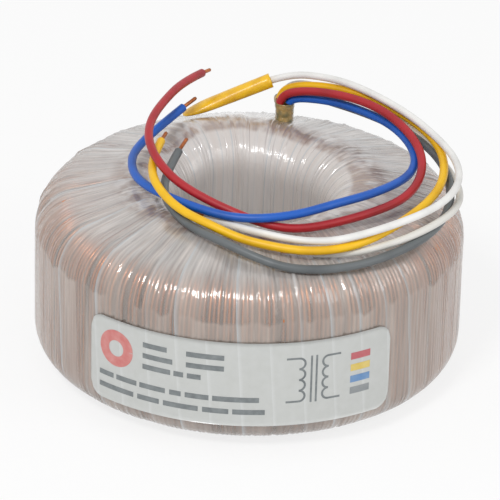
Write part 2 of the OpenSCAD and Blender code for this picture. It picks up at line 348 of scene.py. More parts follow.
@dataclass(frozen=True)
class LappedFinish(Finish):
    """A surface on which the film's laps show, one after another round the ring."""

    laps: int = 44
    lap_tilt: float = 9.0

    def lap(self, tree: bpy.types.NodeTree, axes: bpy.types.Node) -> bpy.types.Node:
        """Counts the laps round the ring, each a little tilted on the wall.

        Args:
            tree: the node tree.
            axes: the separated object coordinates.

        Returns:
            The node with the lap's number, and how far into it as the fraction.
        """
        angle = add_node(tree, "Math", {"operation": "ARCTAN2"},
                         {0: axes.outputs["Y"], 1: axes.outputs["X"]})
        tilt = add_node(tree, "Math", {"operation": "MULTIPLY"},
                        {0: axes.outputs["Z"], 1: self.lap_tilt})
        return add_node(tree, "Math", {"operation": "MULTIPLY_ADD"},
                        {0: angle, 1: self.laps / (2 * math.pi), 2: tilt})


@dataclass(frozen=True)
class FilmPlace:
    """Where a point of the film lies, as the nodes that its pattern is drawn from."""

    place: bpy.types.NodeSocket
    axes: bpy.types.Node
    radius: bpy.types.NodeSocket
    heading: bpy.types.Node
    along: bpy.types.Node
    on_wall: bpy.types.Node
    on_shoulder: bpy.types.Node
    broad: bpy.types.NodeSocket
    fine: bpy.types.NodeSocket


@dataclass(frozen=True)
class WrappedFilm(LappedFinish):
    """Clear polyester film in overlapping laps: milky where many laps lie on each other.

    It is clearest on the wall, where one or two laps cover the copper, and white in the
    bore, where all the laps meet. Its pleats run out from the bore.
    """

    outer_r: float = 0.055
    bore_r: float = 0.019
    cool: str = "#D4D3D2"
    warm: str = "#C8BCB4"
    lap_edge: str = "#AFB4B7"
    violet: str = "#857E8A"
    tan: str = "#B09474"
    crease_z: float = 0.0362
    crease_rise: tuple[float, float] = (0.0024, 0.0038)
    crease_wander: float = 0.006
    crease_clears: float = 0.24
    wall_inset: tuple[float, float] = (0.009, 0.002)
    shoulder_inset: tuple[float, float] = (0.012, 0.004)
    bore_fade: tuple[float, float] = (0.005, 0.014)
    stain_starts: tuple[float, float] = (0.006, 0.0075)
    stain_ends: tuple[float, float] = (0.014, 0.0185)
    wall_haze: float = 0.52
    top_haze: float = 0.7
    bore_haze: float = 0.3
    edge_haze: float = 0.32
    fine_swing: float = 0.2
    broad_swing: float = 0.1
    lap_swing: float = 0.07
    clearest: float = 0.22
    milkiest: float = 0.985
    wall_warm: str = "#CDBDB2"
    broad_streaks: float = 15.0
    fine_streaks: float = 62.0
    hair_streaks: float = 170.0
    crinkle_mm: float = 1.6
    ior: float = 1.62
    mirror_roughness: float = 0.07

    def streaks(self, tree: bpy.types.NodeTree, heading: bpy.types.Node,
                along: bpy.types.Node, per_radian: float,
                length_mm: float) -> bpy.types.NodeSocket:
        """Noise drawn out along the film's pleats.

        Args:
            tree: the node tree.
            heading: the unit direction from the axis.
            along: the distance along the section.
            per_radian: how many streaks lie in a radian.
            length_mm: the length of a streak.

        Returns:
            The noise's value, about 0.5 on average.
        """
        spread = add_node(tree, "VectorMath", {"operation": "SCALE"},
                          {0: heading, "Scale": per_radian})
        depth = add_node(tree, "Math", {"operation": "DIVIDE"},
                         {0: along, 1: length_mm * MM})
        lift = add_node(tree, "CombineXYZ", inputs={"Z": depth})
        place = add_node(tree, "VectorMath", {"operation": "ADD"}, {0: spread, 1: lift})
        return add_node(tree, "TexNoise", inputs={
            "Vector": place, "Scale": 1.0, "Detail": 2.5}).outputs[0]

    def find_place(self, tree: bpy.types.NodeTree) -> FilmPlace:
        """Works out where on the ring a point lies and which streaks run through it."""
        place = add_node(tree, "TexCoord").outputs["Object"]
        axes = add_node(tree, "SeparateXYZ", inputs={0: place})
        flat = add_node(tree, "VectorMath", {"operation": "MULTIPLY"},
                        {0: place, 1: (1.0, 1.0, 0.0)})
        length = add_node(tree, "VectorMath", {"operation": "LENGTH"}, {0: flat})
        radius = length.outputs["Value"]
        heading = add_node(tree, "VectorMath", {"operation": "NORMALIZE"}, {0: flat})
        along = add_node(tree, "Math", {"operation": "SUBTRACT"},
                         {0: axes.outputs["Z"], 1: radius})
        on_wall, on_shoulder = (
            add_node(tree, "MapRange", {"interpolation_type": "SMOOTHSTEP"}, {
                "Value": radius, "From Min": self.outer_r - start,
                "From Max": self.outer_r - stop})
            for start, stop in (self.wall_inset, self.shoulder_inset))
        return FilmPlace(place, axes, radius, heading, along, on_wall, on_shoulder,
                         self.streaks(tree, heading, along, self.broad_streaks, 30.0),
                         self.streaks(tree, heading, along, self.fine_streaks, 16.0))

    def lap_edges(self, tree: bpy.types.NodeTree,
                  at: FilmPlace) -> tuple[bpy.types.Node, bpy.types.Node]:
        """Gives some laps a pale edge, and every lap a chance value of its own.

        Args:
            tree: the node tree.
            at: where the point lies.

        Returns:
            The edge's strength and the lap's chance value.
        """
        lap = self.lap(tree, at.axes)
        lap_place = add_node(tree, "Math", {"operation": "FRACT"}, {0: lap})
        lap_number = add_node(tree, "Math", {"operation": "FLOOR"}, {0: lap})
        lap_chance = add_node(tree, "TexWhiteNoise", {"noise_dimensions": "1D"},
                              {"W": lap_number})
        edge = add_node(tree, "MapRange", inputs={
            "Value": lap_place, "From Min": 0.0, "From Max": 0.16,
            "To Min": 1.0, "To Max": 0.0})
        edge_shown = add_node(tree, "MapRange", inputs={
            "Value": lap_chance, "From Min": 0.25, "From Max": 0.6})
        edge = add_node(tree, "Math", {"operation": "MULTIPLY"}, {0: edge, 1: edge_shown})
        return edge, lap_chance

    def base_haze(self, tree: bpy.types.NodeTree,
                  at: FilmPlace) -> tuple[bpy.types.Node, bpy.types.Node]:
        """Haze by radius: clear over the wall, white down the bore.

        Args:
            tree: the node tree.
            at: where the point lies.

        Returns:
            The haze, and how strongly fine streaks show in it.
        """
        on_top = add_node(tree, "MapRange", {"interpolation_type": "SMOOTHSTEP"}, {
            "Value": at.along, "From Min": -0.4 * self.outer_r, "From Max": 0.0,
            "To Min": self.wall_haze, "To Max": self.top_haze})
        to_bore = add_node(tree, "MapRange", {"interpolation_type": "SMOOTHSTEP"}, {
            "Value": at.radius, "From Min": self.bore_r + self.bore_fade[0],
            "From Max": self.outer_r - self.bore_fade[1],
            "To Min": self.bore_haze, "To Max": 0.0})
        base = add_node(tree, "Math", {"operation": "ADD", "use_clamp": True},
                        {0: on_top, 1: to_bore})
        to_wall = add_node(tree, "MapRange", inputs={
            "Value": at.on_wall, "To Min": 1.0, "To Max": 0.35})
        to_crest = add_node(tree, "MapRange", inputs={
            "Value": base, "From Min": self.top_haze, "From Max": 1.0,
            "To Min": 1.0, "To Max": 0.22})
        return base, add_node(tree, "Math", {"operation": "MULTIPLY"},
                              {0: to_wall, 1: to_crest})

    def crease_band(self, tree: bpy.types.NodeTree, at: FilmPlace) -> bpy.types.Node:
        """A clearer band just under the shoulder, in places, where the film is tight."""
        uneven = add_node(tree, "Math", {"operation": "MULTIPLY_ADD"},
                          {0: at.broad, 1: self.crease_wander, 2: at.axes.outputs["Z"]})
        low, high = (self.crease_z + rise for rise in self.crease_rise)
        band_low = add_node(tree, "MapRange", {"interpolation_type": "SMOOTHSTEP"}, {
            "Value": uneven, "From Min": low, "From Max": high})
        band = add_node(tree, "Math", {"operation": "MULTIPLY"},
                        {0: band_low, 1: at.on_shoulder})
        tight = add_node(tree, "MapRange", inputs={
            "Value": at.broad, "From Min": 0.38, "From Max": 0.62})
        return add_node(tree, "Math", {"operation": "MULTIPLY"}, {0: band, 1: tight})

    def haze(self, tree: bpy.types.NodeTree, at: FilmPlace, edge: bpy.types.Node,
             lap_chance: bpy.types.Node) -> bpy.types.Node:
        """Adds up how milky the film is at a point.

        Args:
            tree: the node tree.
            at: where the point lies.
            edge: the strength of the lap's edge.
            lap_chance: the lap's chance value.

        Returns:
            The node with the share of light that the film stops.
        """
        base, openness = self.base_haze(tree, at)
        fine_share = add_node(tree, "MapRange", inputs={
            "Value": at.fine, "From Min": 0.25, "From Max": 0.75,
            "To Min": -self.fine_swing, "To Max": self.fine_swing})
        fine_share = add_node(tree, "Math", {"operation": "MULTIPLY"},
                              {0: fine_share, 1: openness})
        broad_share = add_node(tree, "MapRange", inputs={
            "Value": at.broad, "From Min": 0.3, "From Max": 0.7,
            "To Min": -self.broad_swing, "To Max": self.broad_swing})
        lap_share = add_node(tree, "MapRange", inputs={
            "Value": lap_chance, "To Min": -self.lap_swing, "To Max": self.lap_swing})
        total = base
        for share in (fine_share, broad_share, lap_share):
            total = add_node(tree, "Math", {"operation": "ADD"}, {0: total, 1: share})
        for share, weight in ((edge, self.edge_haze),
                              (self.crease_band(tree, at), -self.crease_clears)):
            total = add_node(tree, "Math", {"operation": "MULTIPLY_ADD"},
                             {0: share, 1: weight, 2: total})
        return add_node(tree, "Clamp", inputs={
            "Value": total, "Min": self.clearest, "Max": self.milkiest})

    def colour(self, tree: bpy.types.NodeTree, at: FilmPlace,
               edge: bpy.types.Node) -> bpy.types.NodeSocket:
        """Colours the film: warm where copper glows through, mottled round the bore.

        Args:
            tree: the node tree.
            at: where the point lies.
            edge: the strength of the lap's edge.

        Returns:
            The socket with the colour.
        """
        colour = self.blend(tree, at.broad, linear(self.cool), linear(self.warm))
        colour = self.blend(tree, at.on_wall.outputs[0], colour, linear(self.wall_warm))
        colour = self.blend(tree, edge.outputs[0], colour, linear(self.lap_edge))
        patches = self.streaks(tree, at.heading, at.along, 7.0, 6.0)
        ring_in, ring_out = (
            add_node(tree, "MapRange", {"interpolation_type": "SMOOTHSTEP"}, {
                "Value": at.radius, "From Min": self.bore_r + start,
                "From Max": self.bore_r + stop, "To Min": first, "To Max": 1.0 - first})
            for (start, stop), first in ((self.stain_starts, 0.0), (self.stain_ends, 1.0)))
        ring = add_node(tree, "Math", {"operation": "MULTIPLY"}, {0: ring_in, 1: ring_out})
        seen = add_node(tree, "MapRange", inputs={
            "Value": patches, "From Min": 0.4, "From Max": 0.54, "To Max": 0.9})
        ring = add_node(tree, "Math", {"operation": "MULTIPLY"}, {0: ring, 1: seen})
        stain = self.blend(tree, at.fine, linear(self.violet), linear(self.tan))
        return self.blend(tree, ring.outputs[0], colour, stain)

    def relief(self, tree: bpy.types.NodeTree, at: FilmPlace) -> bpy.types.Node:
        """Pleats, hairlines too fine to model, and crinkles past the shoulder."""
        hair = self.streaks(tree, at.heading, at.along, self.hair_streaks, 9.0)
        height = add_node(tree, "Math", {"operation": "MULTIPLY_ADD"},
                          {0: hair, 1: 0.35, 2: at.fine})
        crinkle = add_node(tree, "TexNoise", inputs={
            "Vector": at.place, "Scale": 1 / (self.crinkle_mm * MM), "Detail": 3.0})
        crinkled = add_node(tree, "Math", {"operation": "MULTIPLY"},
                            {0: crinkle, 1: at.on_shoulder})
        height = add_node(tree, "Math", {"operation": "MULTIPLY_ADD"},
                          {0: crinkled, 1: 0.9, 2: height})
        return add_node(tree, "Bump", inputs={
            "Height": height, "Strength": 0.7, "Distance": 0.16 * MM})

    def shade(self, tree: bpy.types.NodeTree, shader: bpy.types.Node) -> None:
        """Wires the haze, the colours under it and the gloss over it."""
        at = self.find_place(tree)
        edge, lap_chance = self.lap_edges(tree, at)
        bump = self.relief(tree, at)
        feed(tree, shader, {
            "Alpha": self.haze(tree, at, edge, lap_chance),
            "Base Color": self.colour(tree, at, edge),
            "Normal": bump, "Roughness": 0.35, "IOR": self.ior})
        # The film mirrors as strongly where it is clear as where it is milky
        mirror = add_node(tree, "BsdfGlossy", inputs={
            "Color": linear("#FFFFFF"), "Roughness": self.mirror_roughness, "Normal": bump})
        share = add_node(tree, "Fresnel", inputs={"IOR": self.ior, "Normal": bump})
        mix = add_node(tree, "MixShader", inputs={0: share, 1: shader, 2: mirror})
        feed(tree, tree.nodes["Material Output"], {"Surface": mix})


@dataclass(frozen=True)
class LabelPaper(LappedFinish):
    """Coated label paper, faintly green, with the film's laps showing as pale bands."""

    paper: str = "#C0C2BF"
    band: str = "#CDCFCE"
    fibre_mm: float = 2.5

    def shade(self, tree: bpy.types.NodeTree, shader: bpy.types.Node) -> None:
        """Paper under one lap of film."""
        place = add_node(tree, "TexCoord").outputs["Object"]
        axes = add_node(tree, "SeparateXYZ", inputs={0: place})
        lap_place = add_node(tree, "Math", {"operation": "FRACT"}, {0: self.lap(tree, axes)})
        edge = add_node(tree, "MapRange", inputs={
            "Value": lap_place, "From Min": 0.0, "From Max": 0.12,
            "To Min": 0.7, "To Max": 0.0})
        fibre = add_node(tree, "TexNoise", inputs={
            "Vector": place, "Scale": 1 / (self.fibre_mm * MM), "Detail": 5.0})
        share = add_node(tree, "MapRange", inputs={
            "Value": fibre, "From Min": 0.3, "From Max": 0.7, "To Max": 0.4})
        share = add_node(tree, "Math", {"operation": "ADD", "use_clamp": True},
                         {0: share, 1: edge})
        colour = self.blend(tree, share, linear(self.paper), linear(self.band))
        bump = add_node(tree, "Bump", inputs={
            "Height": share, "Strength": 0.3, "Distance": 0.04 * MM})
        feed(tree, shader, {
            "Base Color": colour, "Normal": bump, "Roughness": 0.45, "IOR": 1.5,
            "Coat Weight": 0.5, "Coat Roughness": 0.12})


@dataclass(frozen=True)
class LabelInk(Finish):
    """Thermal-transfer ink on the label, worn thin in specks."""

    ink: str = "#6A7072"
    worn: str = "#848A8B"
    wear_mm: float = 1.8

    def shade(self, tree: bpy.types.NodeTree, shader: bpy.types.Node) -> None:
        """Ink that fades towards the paper where it has worn."""
        place = add_node(tree, "TexCoord").outputs["Object"]
        wear = add_node(tree, "TexNoise", inputs={
            "Vector": place, "Scale": 1 / (self.wear_mm * MM), "Detail": 2.0})
        share = add_node(tree, "MapRange", inputs={
            "Value": wear, "From Min": 0.3, "From Max": 0.8})
        colour = self.blend(tree, share, linear(self.ink), linear(self.worn))
        feed(tree, shader, {
            "Base Color": colour, "Roughness": 0.5, "Coat Weight": 0.5,
            "Coat Roughness": 0.12})


# ---------------------------------------------------------------- mesh helpers

def in_scene(name: str, data: bpy.types.ID) -> bpy.types.Object:
    """Makes an object of its data and puts it in the scene."""
    made = bpy.data.objects.new(name, data)
    bpy.context.scene.collection.objects.link(made)
    return made


def mount(made: bpy.types.Object, stands_for: tuple[str, ...] = ()) -> None:
    """Rides a piece on the transformer's one body, for the nodes it replaces."""
    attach(made, "root")
    if stands_for:
        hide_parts(*stands_for)


def piece(name: str, points: np.ndarray, faces: list, material: bpy.types.Material,
          stands_for: tuple[str, ...] = ()) -> bpy.types.Object:
    """Makes a smooth mesh piece that rides on the transformer's one body.

    Args:
        name: the piece's name.
        points: vertex places, one row each.
        faces: vertex numbers of each face.
        material: the piece's finish.
        stands_for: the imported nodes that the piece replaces.

    Returns:
        The new object.
    """
    mesh = bpy.data.meshes.new(name)
    mesh.from_pydata(np.asarray(points).tolist(), [], faces)
    mesh.polygons.foreach_set("use_smooth", [True] * len(mesh.polygons))
    mesh.materials.append(material)
    mesh.update()
    made = in_scene(name, mesh)
    mount(made, stands_for)
    LOG.info("%s: %d faces", name, len(faces))
    return made


def grid_faces(rows: int, columns: int, wrap_rows: bool = False,
               wrap_columns: bool = False, start: int = 0) -> list[tuple[int, ...]]:
    """Quads over a grid of vertices numbered row by row.

    Args:
        rows: how many rows.
        columns: how many vertices in a row.
        wrap_rows: whether the last row joins the first.
        wrap_columns: whether the last vertex of a row joins its first.
        start: the number of the first vertex.

    Returns:
        One tuple of four vertex numbers for each quad.
    """
    i = np.arange(rows if wrap_rows else rows - 1)[:, None]
    j = np.arange(columns if wrap_columns else columns - 1)[None, :]
    i_next, j_next = (i + 1) % rows, (j + 1) % columns
    corners = [i * columns + j, i * columns + j_next,
               i_next * columns + j_next, i_next * columns + j]
    quads = np.stack([np.broadcast_to(c, (len(i), j.shape[1])) for c in corners], axis=-1)
    return [tuple(q) for q in (quads.reshape(-1, 4) + start).tolist()]


def closed_tube(rings: int, sides: int, start: int = 0) -> list[tuple[int, ...]]:
    """Faces of rings joined in order, with a cap on both ends.

    Args:
        rings: how many rings.
        sides: how many vertices in a ring.
        start: the number of the first vertex.

    Returns:
        The faces, each a tuple of vertex numbers.
    """
    last = start + (rings - 1) * sides
    return grid_faces(rings, sides, wrap_columns=True, start=start) + [
        tuple(start + k for k in reversed(range(sides))),
        tuple(last + k for k in range(sides))]


def flipped(faces: list[tuple[int, ...]]) -> list[tuple[int, ...]]:
    """The same faces, looking the other way."""
    return [tuple(reversed(face)) for face in faces]


def swept(path: np.ndarray, radii: np.ndarray, sides: int,
          start: int = 0) -> tuple[np.ndarray, list]:
    """Sweeps a closed round tube along a path.

    Args:
        path: the centre's points.
        radii: the radius at each point.
        sides: the number of sides.
        start: the number of the first vertex.

    Returns:
        The vertices and the faces, with both ends capped.
    """
    heading = np.gradient(path, axis=0)
    heading /= np.linalg.norm(heading, axis=1)[:, None]
    across = np.cross(heading[0], (0.3, 0.2, 1.0))
    rings = []
    for point, way, radius in zip(path, heading, radii):
        across = across - way * (across @ way)
        across = across / np.linalg.norm(across)
        second = np.cross(way, across)
        turn = np.linspace(0, 2 * math.pi, sides, endpoint=False)[:, None]
        rings.append(point + radius * (np.cos(turn) * across + np.sin(turn) * second))
    points = np.concatenate(rings)
    return points, closed_tube(len(path), sides, start)


def smooth(value: np.ndarray, low: float, high: float) -> np.ndarray:
    """A soft step: 0 at low, 1 at high."""
    share = np.clip((np.asarray(value) - low) / (high - low), 0, 1)
    return share * share * (3 - 2 * share)


def round_trip(angle: np.ndarray) -> np.ndarray:
    """Brings an angle to between minus and plus half a turn."""
    return (np.asarray(angle) + math.pi) % (2 * math.pi) - math.pi


# ---------------------------------------------------------------- the coil's section

@dataclass(frozen=True)
class Corner:
    """One rounded corner of the coil's section."""

    r: float
    z: float
    radius: float
    arc_points: int
    line_points: int

    def on(self, angle: float) -> tuple[float, float, float, float]:
        """Place and outward normal on the corner at an angle."""
        c, s = math.cos(angle), math.sin(angle)
        return (self.r + self.radius * c, self.z + self.radius * s, c, s)


@dataclass
class CoilSection:
    """Section through one side of the wrapped ring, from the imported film's size."""

    outer_r: float
    bore_r: float
    crest_h: float
    shoulder_drop: float = 0.003
    shoulder_radius: float = 0.012
    foot_radius: float = 0.008
    foot_lift: float = 0.0015
    crest_radius: float = 0.011
    heel_radius: float = 0.009
    foot_ring_r: float = 0.036

    @classmethod
    def from_frame(cls, frame: dict) -> "CoilSection":
        """Takes the coil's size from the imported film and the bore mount."""
        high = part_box("outer_wrap")[1]
        bore = next(m for m in frame["record"]["mounts"] if m["kind"] == "bore")
        return cls(outer_r=high.x, bore_r=bore["dims"]["r_mm"] * MM, crest_h=high.z)

    def corners(self, depth: float, lift: float = 0.0, bore_level: float = 0.0,
                fine: int = 1) -> list[Corner]:
        """The section's corners at a depth below the film's surface.

        Args:
            depth: how deep the outline lies.
            lift: how much higher the crest is.
            bore_level: how much deeper the outline lies in the bore and on the crest.
            fine: how many times the usual number of points the outline gets.

        Returns:
            The corners, anticlockwise from the bore's foot.
        """
        shoulder_z = self.crest_h - self.shoulder_drop - self.shoulder_radius
        in_bore = depth + bore_level
        return [
            Corner(self.bore_r + self.heel_radius, self.heel_radius,
                   self.heel_radius - in_bore, 7 * fine, 4 * fine),
            Corner(self.foot_ring_r, self.heel_radius,
                   self.heel_radius - in_bore, 3 * fine, 3 * fine),
            Corner(self.outer_r - self.foot_radius, self.foot_lift + self.foot_radius,
                   self.foot_radius - depth, 8 * fine, 7 * fine),
            Corner(self.outer_r - self.shoulder_radius, shoulder_z,
                   self.shoulder_radius - depth, 15 * fine, 7 * fine),
            Corner(self.bore_r + self.crest_radius, self.crest_h - self.crest_radius + lift,
                   self.crest_radius - in_bore, 16 * fine, 10 * fine),
        ]

    def outline(self, depth: float, lift: float = 0.0, bore_level: float = 0.0,
                fine: int = 1) -> np.ndarray:
        """Closed outline as rows of radius, height and outward normal.

        Args:
            depth: how deep the outline lies.
            lift: how much higher the crest is.
            bore_level: how much deeper the outline lies in the bore and on the crest.
            fine: how many times the usual number of points the outline gets.

        Returns:
            One row of four numbers for each point.
        """
        corners = self.corners(depth, lift, bore_level, fine)
        normals = []
        for one, other in zip(corners, corners[1:] + corners[:1]):
            run, rise = other.r - one.r, other.z - one.z
            normals.append(math.atan2(rise, run)
                           - math.acos((one.radius - other.radius) / math.hypot(run, rise)))
        rows = []
        for i, corner in enumerate(corners):
            start, stop = normals[i - 1], normals[i]
            while stop < start:
                stop += 2 * math.pi
            for angle in np.linspace(start, stop, corner.arc_points):
                rows.append(corner.on(angle))
            following = corners[(i + 1) % len(corners)]
            first, last = corner.on(stop), following.on(stop)
            for share in np.linspace(0, 1, corner.line_points + 2)[1:-1]:
                rows.append(tuple(a + (b - a) * share for a, b in zip(first, last)))
        return np.array(rows)


# ---------------------------------------------------------------- windings

@dataclass
class SecondaryPair:
    """The two secondary windings, laid as a pair with its turns bunched on the wall."""

    section: CoilSection
    finish: EnamelledCopper = field(default_factory=lambda: EnamelledCopper("enamelled_copper"))
    turns: int = 130
    wire: float = 0.0009
    depth: float = 0.00055
    sides: int = 8
    seed: int = 7
    heading: np.ndarray = field(init=False)
    fan_in: float = 0.024
    fan_out: float = 0.044

    def __post_init__(self) -> None:
        """Chooses where each wire lies on the wall: close in a bunch, then a gap."""
        chance = np.random.default_rng(self.seed)
        steps = []
        while len(steps) < 2 * self.turns:
            bunch = int(chance.choice([2, 3, 4, 5, 7]))
            steps += list(chance.uniform(0.82, 0.98, bunch - 1))
            steps.append(chance.choice([1.1, 1.2, 1.4, 1.8]))
        steps = np.array(steps[:2 * self.turns])
        self.heading = np.cumsum(steps) / steps.sum() * 2 * math.pi

    def wire_headings(self, radius: np.ndarray) -> np.ndarray:
        """Direction of every wire at each radius: even in the bore, bunched outside.

        Args:
            radius: the radii, as one row.

        Returns:
            One row of directions for each wire.
        """
        even = np.arange(2 * self.turns) * math.pi / self.turns
        offset = round_trip(self.heading - even)
        offset -= offset.mean()
        share = smooth(radius, self.fan_in, self.fan_out)
        return even[:, None] + offset[:, None] * share[None, :]

    def build(self) -> list[bpy.types.Object]:
        """Builds one mesh for each winding."""
        material = self.finish.make()
        made = []
        for which, (node, level) in enumerate(
                {"secondary_winding_a": 0.001, "secondary_winding_b": 0.0}.items()):
            outline = self.section.outline(self.depth + self.wire / 2, bore_level=level)
            headings = self.wire_headings(outline[:, 0])[which::2]
            points, faces = [], []
            turn = np.linspace(0, 2 * math.pi, self.sides, endpoint=False)
            for n, heading in enumerate(headings):
                out = np.stack([np.cos(heading), np.sin(heading),
                                np.zeros_like(heading)], axis=1)
                side = np.stack([-np.sin(heading), np.cos(heading),
                                 np.zeros_like(heading)], axis=1)
                up = np.array([0.0, 0.0, 1.0])
                centre = out * outline[:, :1] + up * outline[:, 1:2]
                normal = out * outline[:, 2:3] + up * outline[:, 3:4]
                rings = (centre[:, None, :]
                         + self.wire / 2 * (np.cos(turn)[None, :, None] * normal[:, None, :]
                                            + np.sin(turn)[None, :, None] * side[:, None, :]))
                points.append(rings.reshape(-1, 3))
                faces += grid_faces(len(outline), self.sides, True, True,
                                    start=n * len(outline) * self.sides)
            made.append(piece(f"{node}_turns", np.concatenate(points), faces, material,
                              (node,)))
        return made


# ---------------------------------------------------------------- pad and film

@dataclass
class LeadPad:
    """Folded crepe tape under the lead-outs; the film is drawn over it."""

    section: CoilSection
    height: float = 0.0024
    folds: int = 3
    start_deg: float = 71.0
    sweep_deg: float = 60.0
    step_deg: float = 13.0
    far_step_deg: float = 5.0
    depth: float = 0.0007
    lowest_z: float = 0.0415
    edge_margin: float = 0.006
    fold_fill: float = 0.88
    steps: int = 48
    waviness: float = 0.001
    finish: MottledSolid = field(default_factory=lambda: MottledSolid(
        "crepe_paper_tape", "#D9BE96", "#B99A70", 0.7, 0.0, 0.9, 0.12, (1.0, 1.0, 3.0)))

    def windows(self) -> list[tuple[float, float]]:
        """First and last direction of each fold, in radians."""
        spans = []
        for fold in range(self.folds):
            first = self.start_deg + fold * self.step_deg
            sweep = self.sweep_deg - fold * (self.step_deg + self.far_step_deg)
            spans.append((math.radians(first), math.radians(first + sweep)))
        return spans

    def rise(self, heading: np.ndarray, soft_deg: float = 5.0) -> np.ndarray:
        """Share of the pad's height that the film stands at, for each direction.

        Args:
            heading: the directions.
            soft_deg: how far the film takes to come down past the end of a fold.

        Returns:
            A share from 0 to 1.
        """
        soft = math.radians(soft_deg)
        total = np.zeros_like(heading)
        for first, last in self.windows():
            total += smooth(heading, first - 1.3 * soft, first - 0.3 * soft) * (
                1 - smooth(heading, last + 0.3 * soft, last + 1.3 * soft))
        return total / self.folds

    def build(self) -> bpy.types.Object:
        """Builds the folds as one piece, each a crescent on the crest."""
        points, faces = [], []
        count = 0
        for fold, (first, last) in enumerate(self.windows()):
            low = self.section.outline(self.depth, self.height * fold / self.folds)
            high = self.section.outline(self.depth, self.height * (fold + self.fold_fill) / self.folds)
            top = (low[:, 0] < self.section.outer_r - self.edge_margin) & (low[:, 1] > self.lowest_z)
            low, high = low[top], high[top]
            loop = np.concatenate([high[:, :2], low[::-1, :2]])
            headings = np.linspace(first, last, self.steps)
            for heading in headings:
                swell = 1 + self.waviness * math.sin(heading * 90 + fold)
                points.append(np.stack([loop[:, 0] * math.cos(heading) * swell,
                                        loop[:, 0] * math.sin(heading) * swell,
                                        loop[:, 1]], axis=1))
            faces += closed_tube(len(headings), len(loop), count)
            count += len(headings) * len(loop)
        return piece("lead_pad_folds", np.concatenate(points), flipped(faces),
                     self.finish.make(), ("lead_pad",))


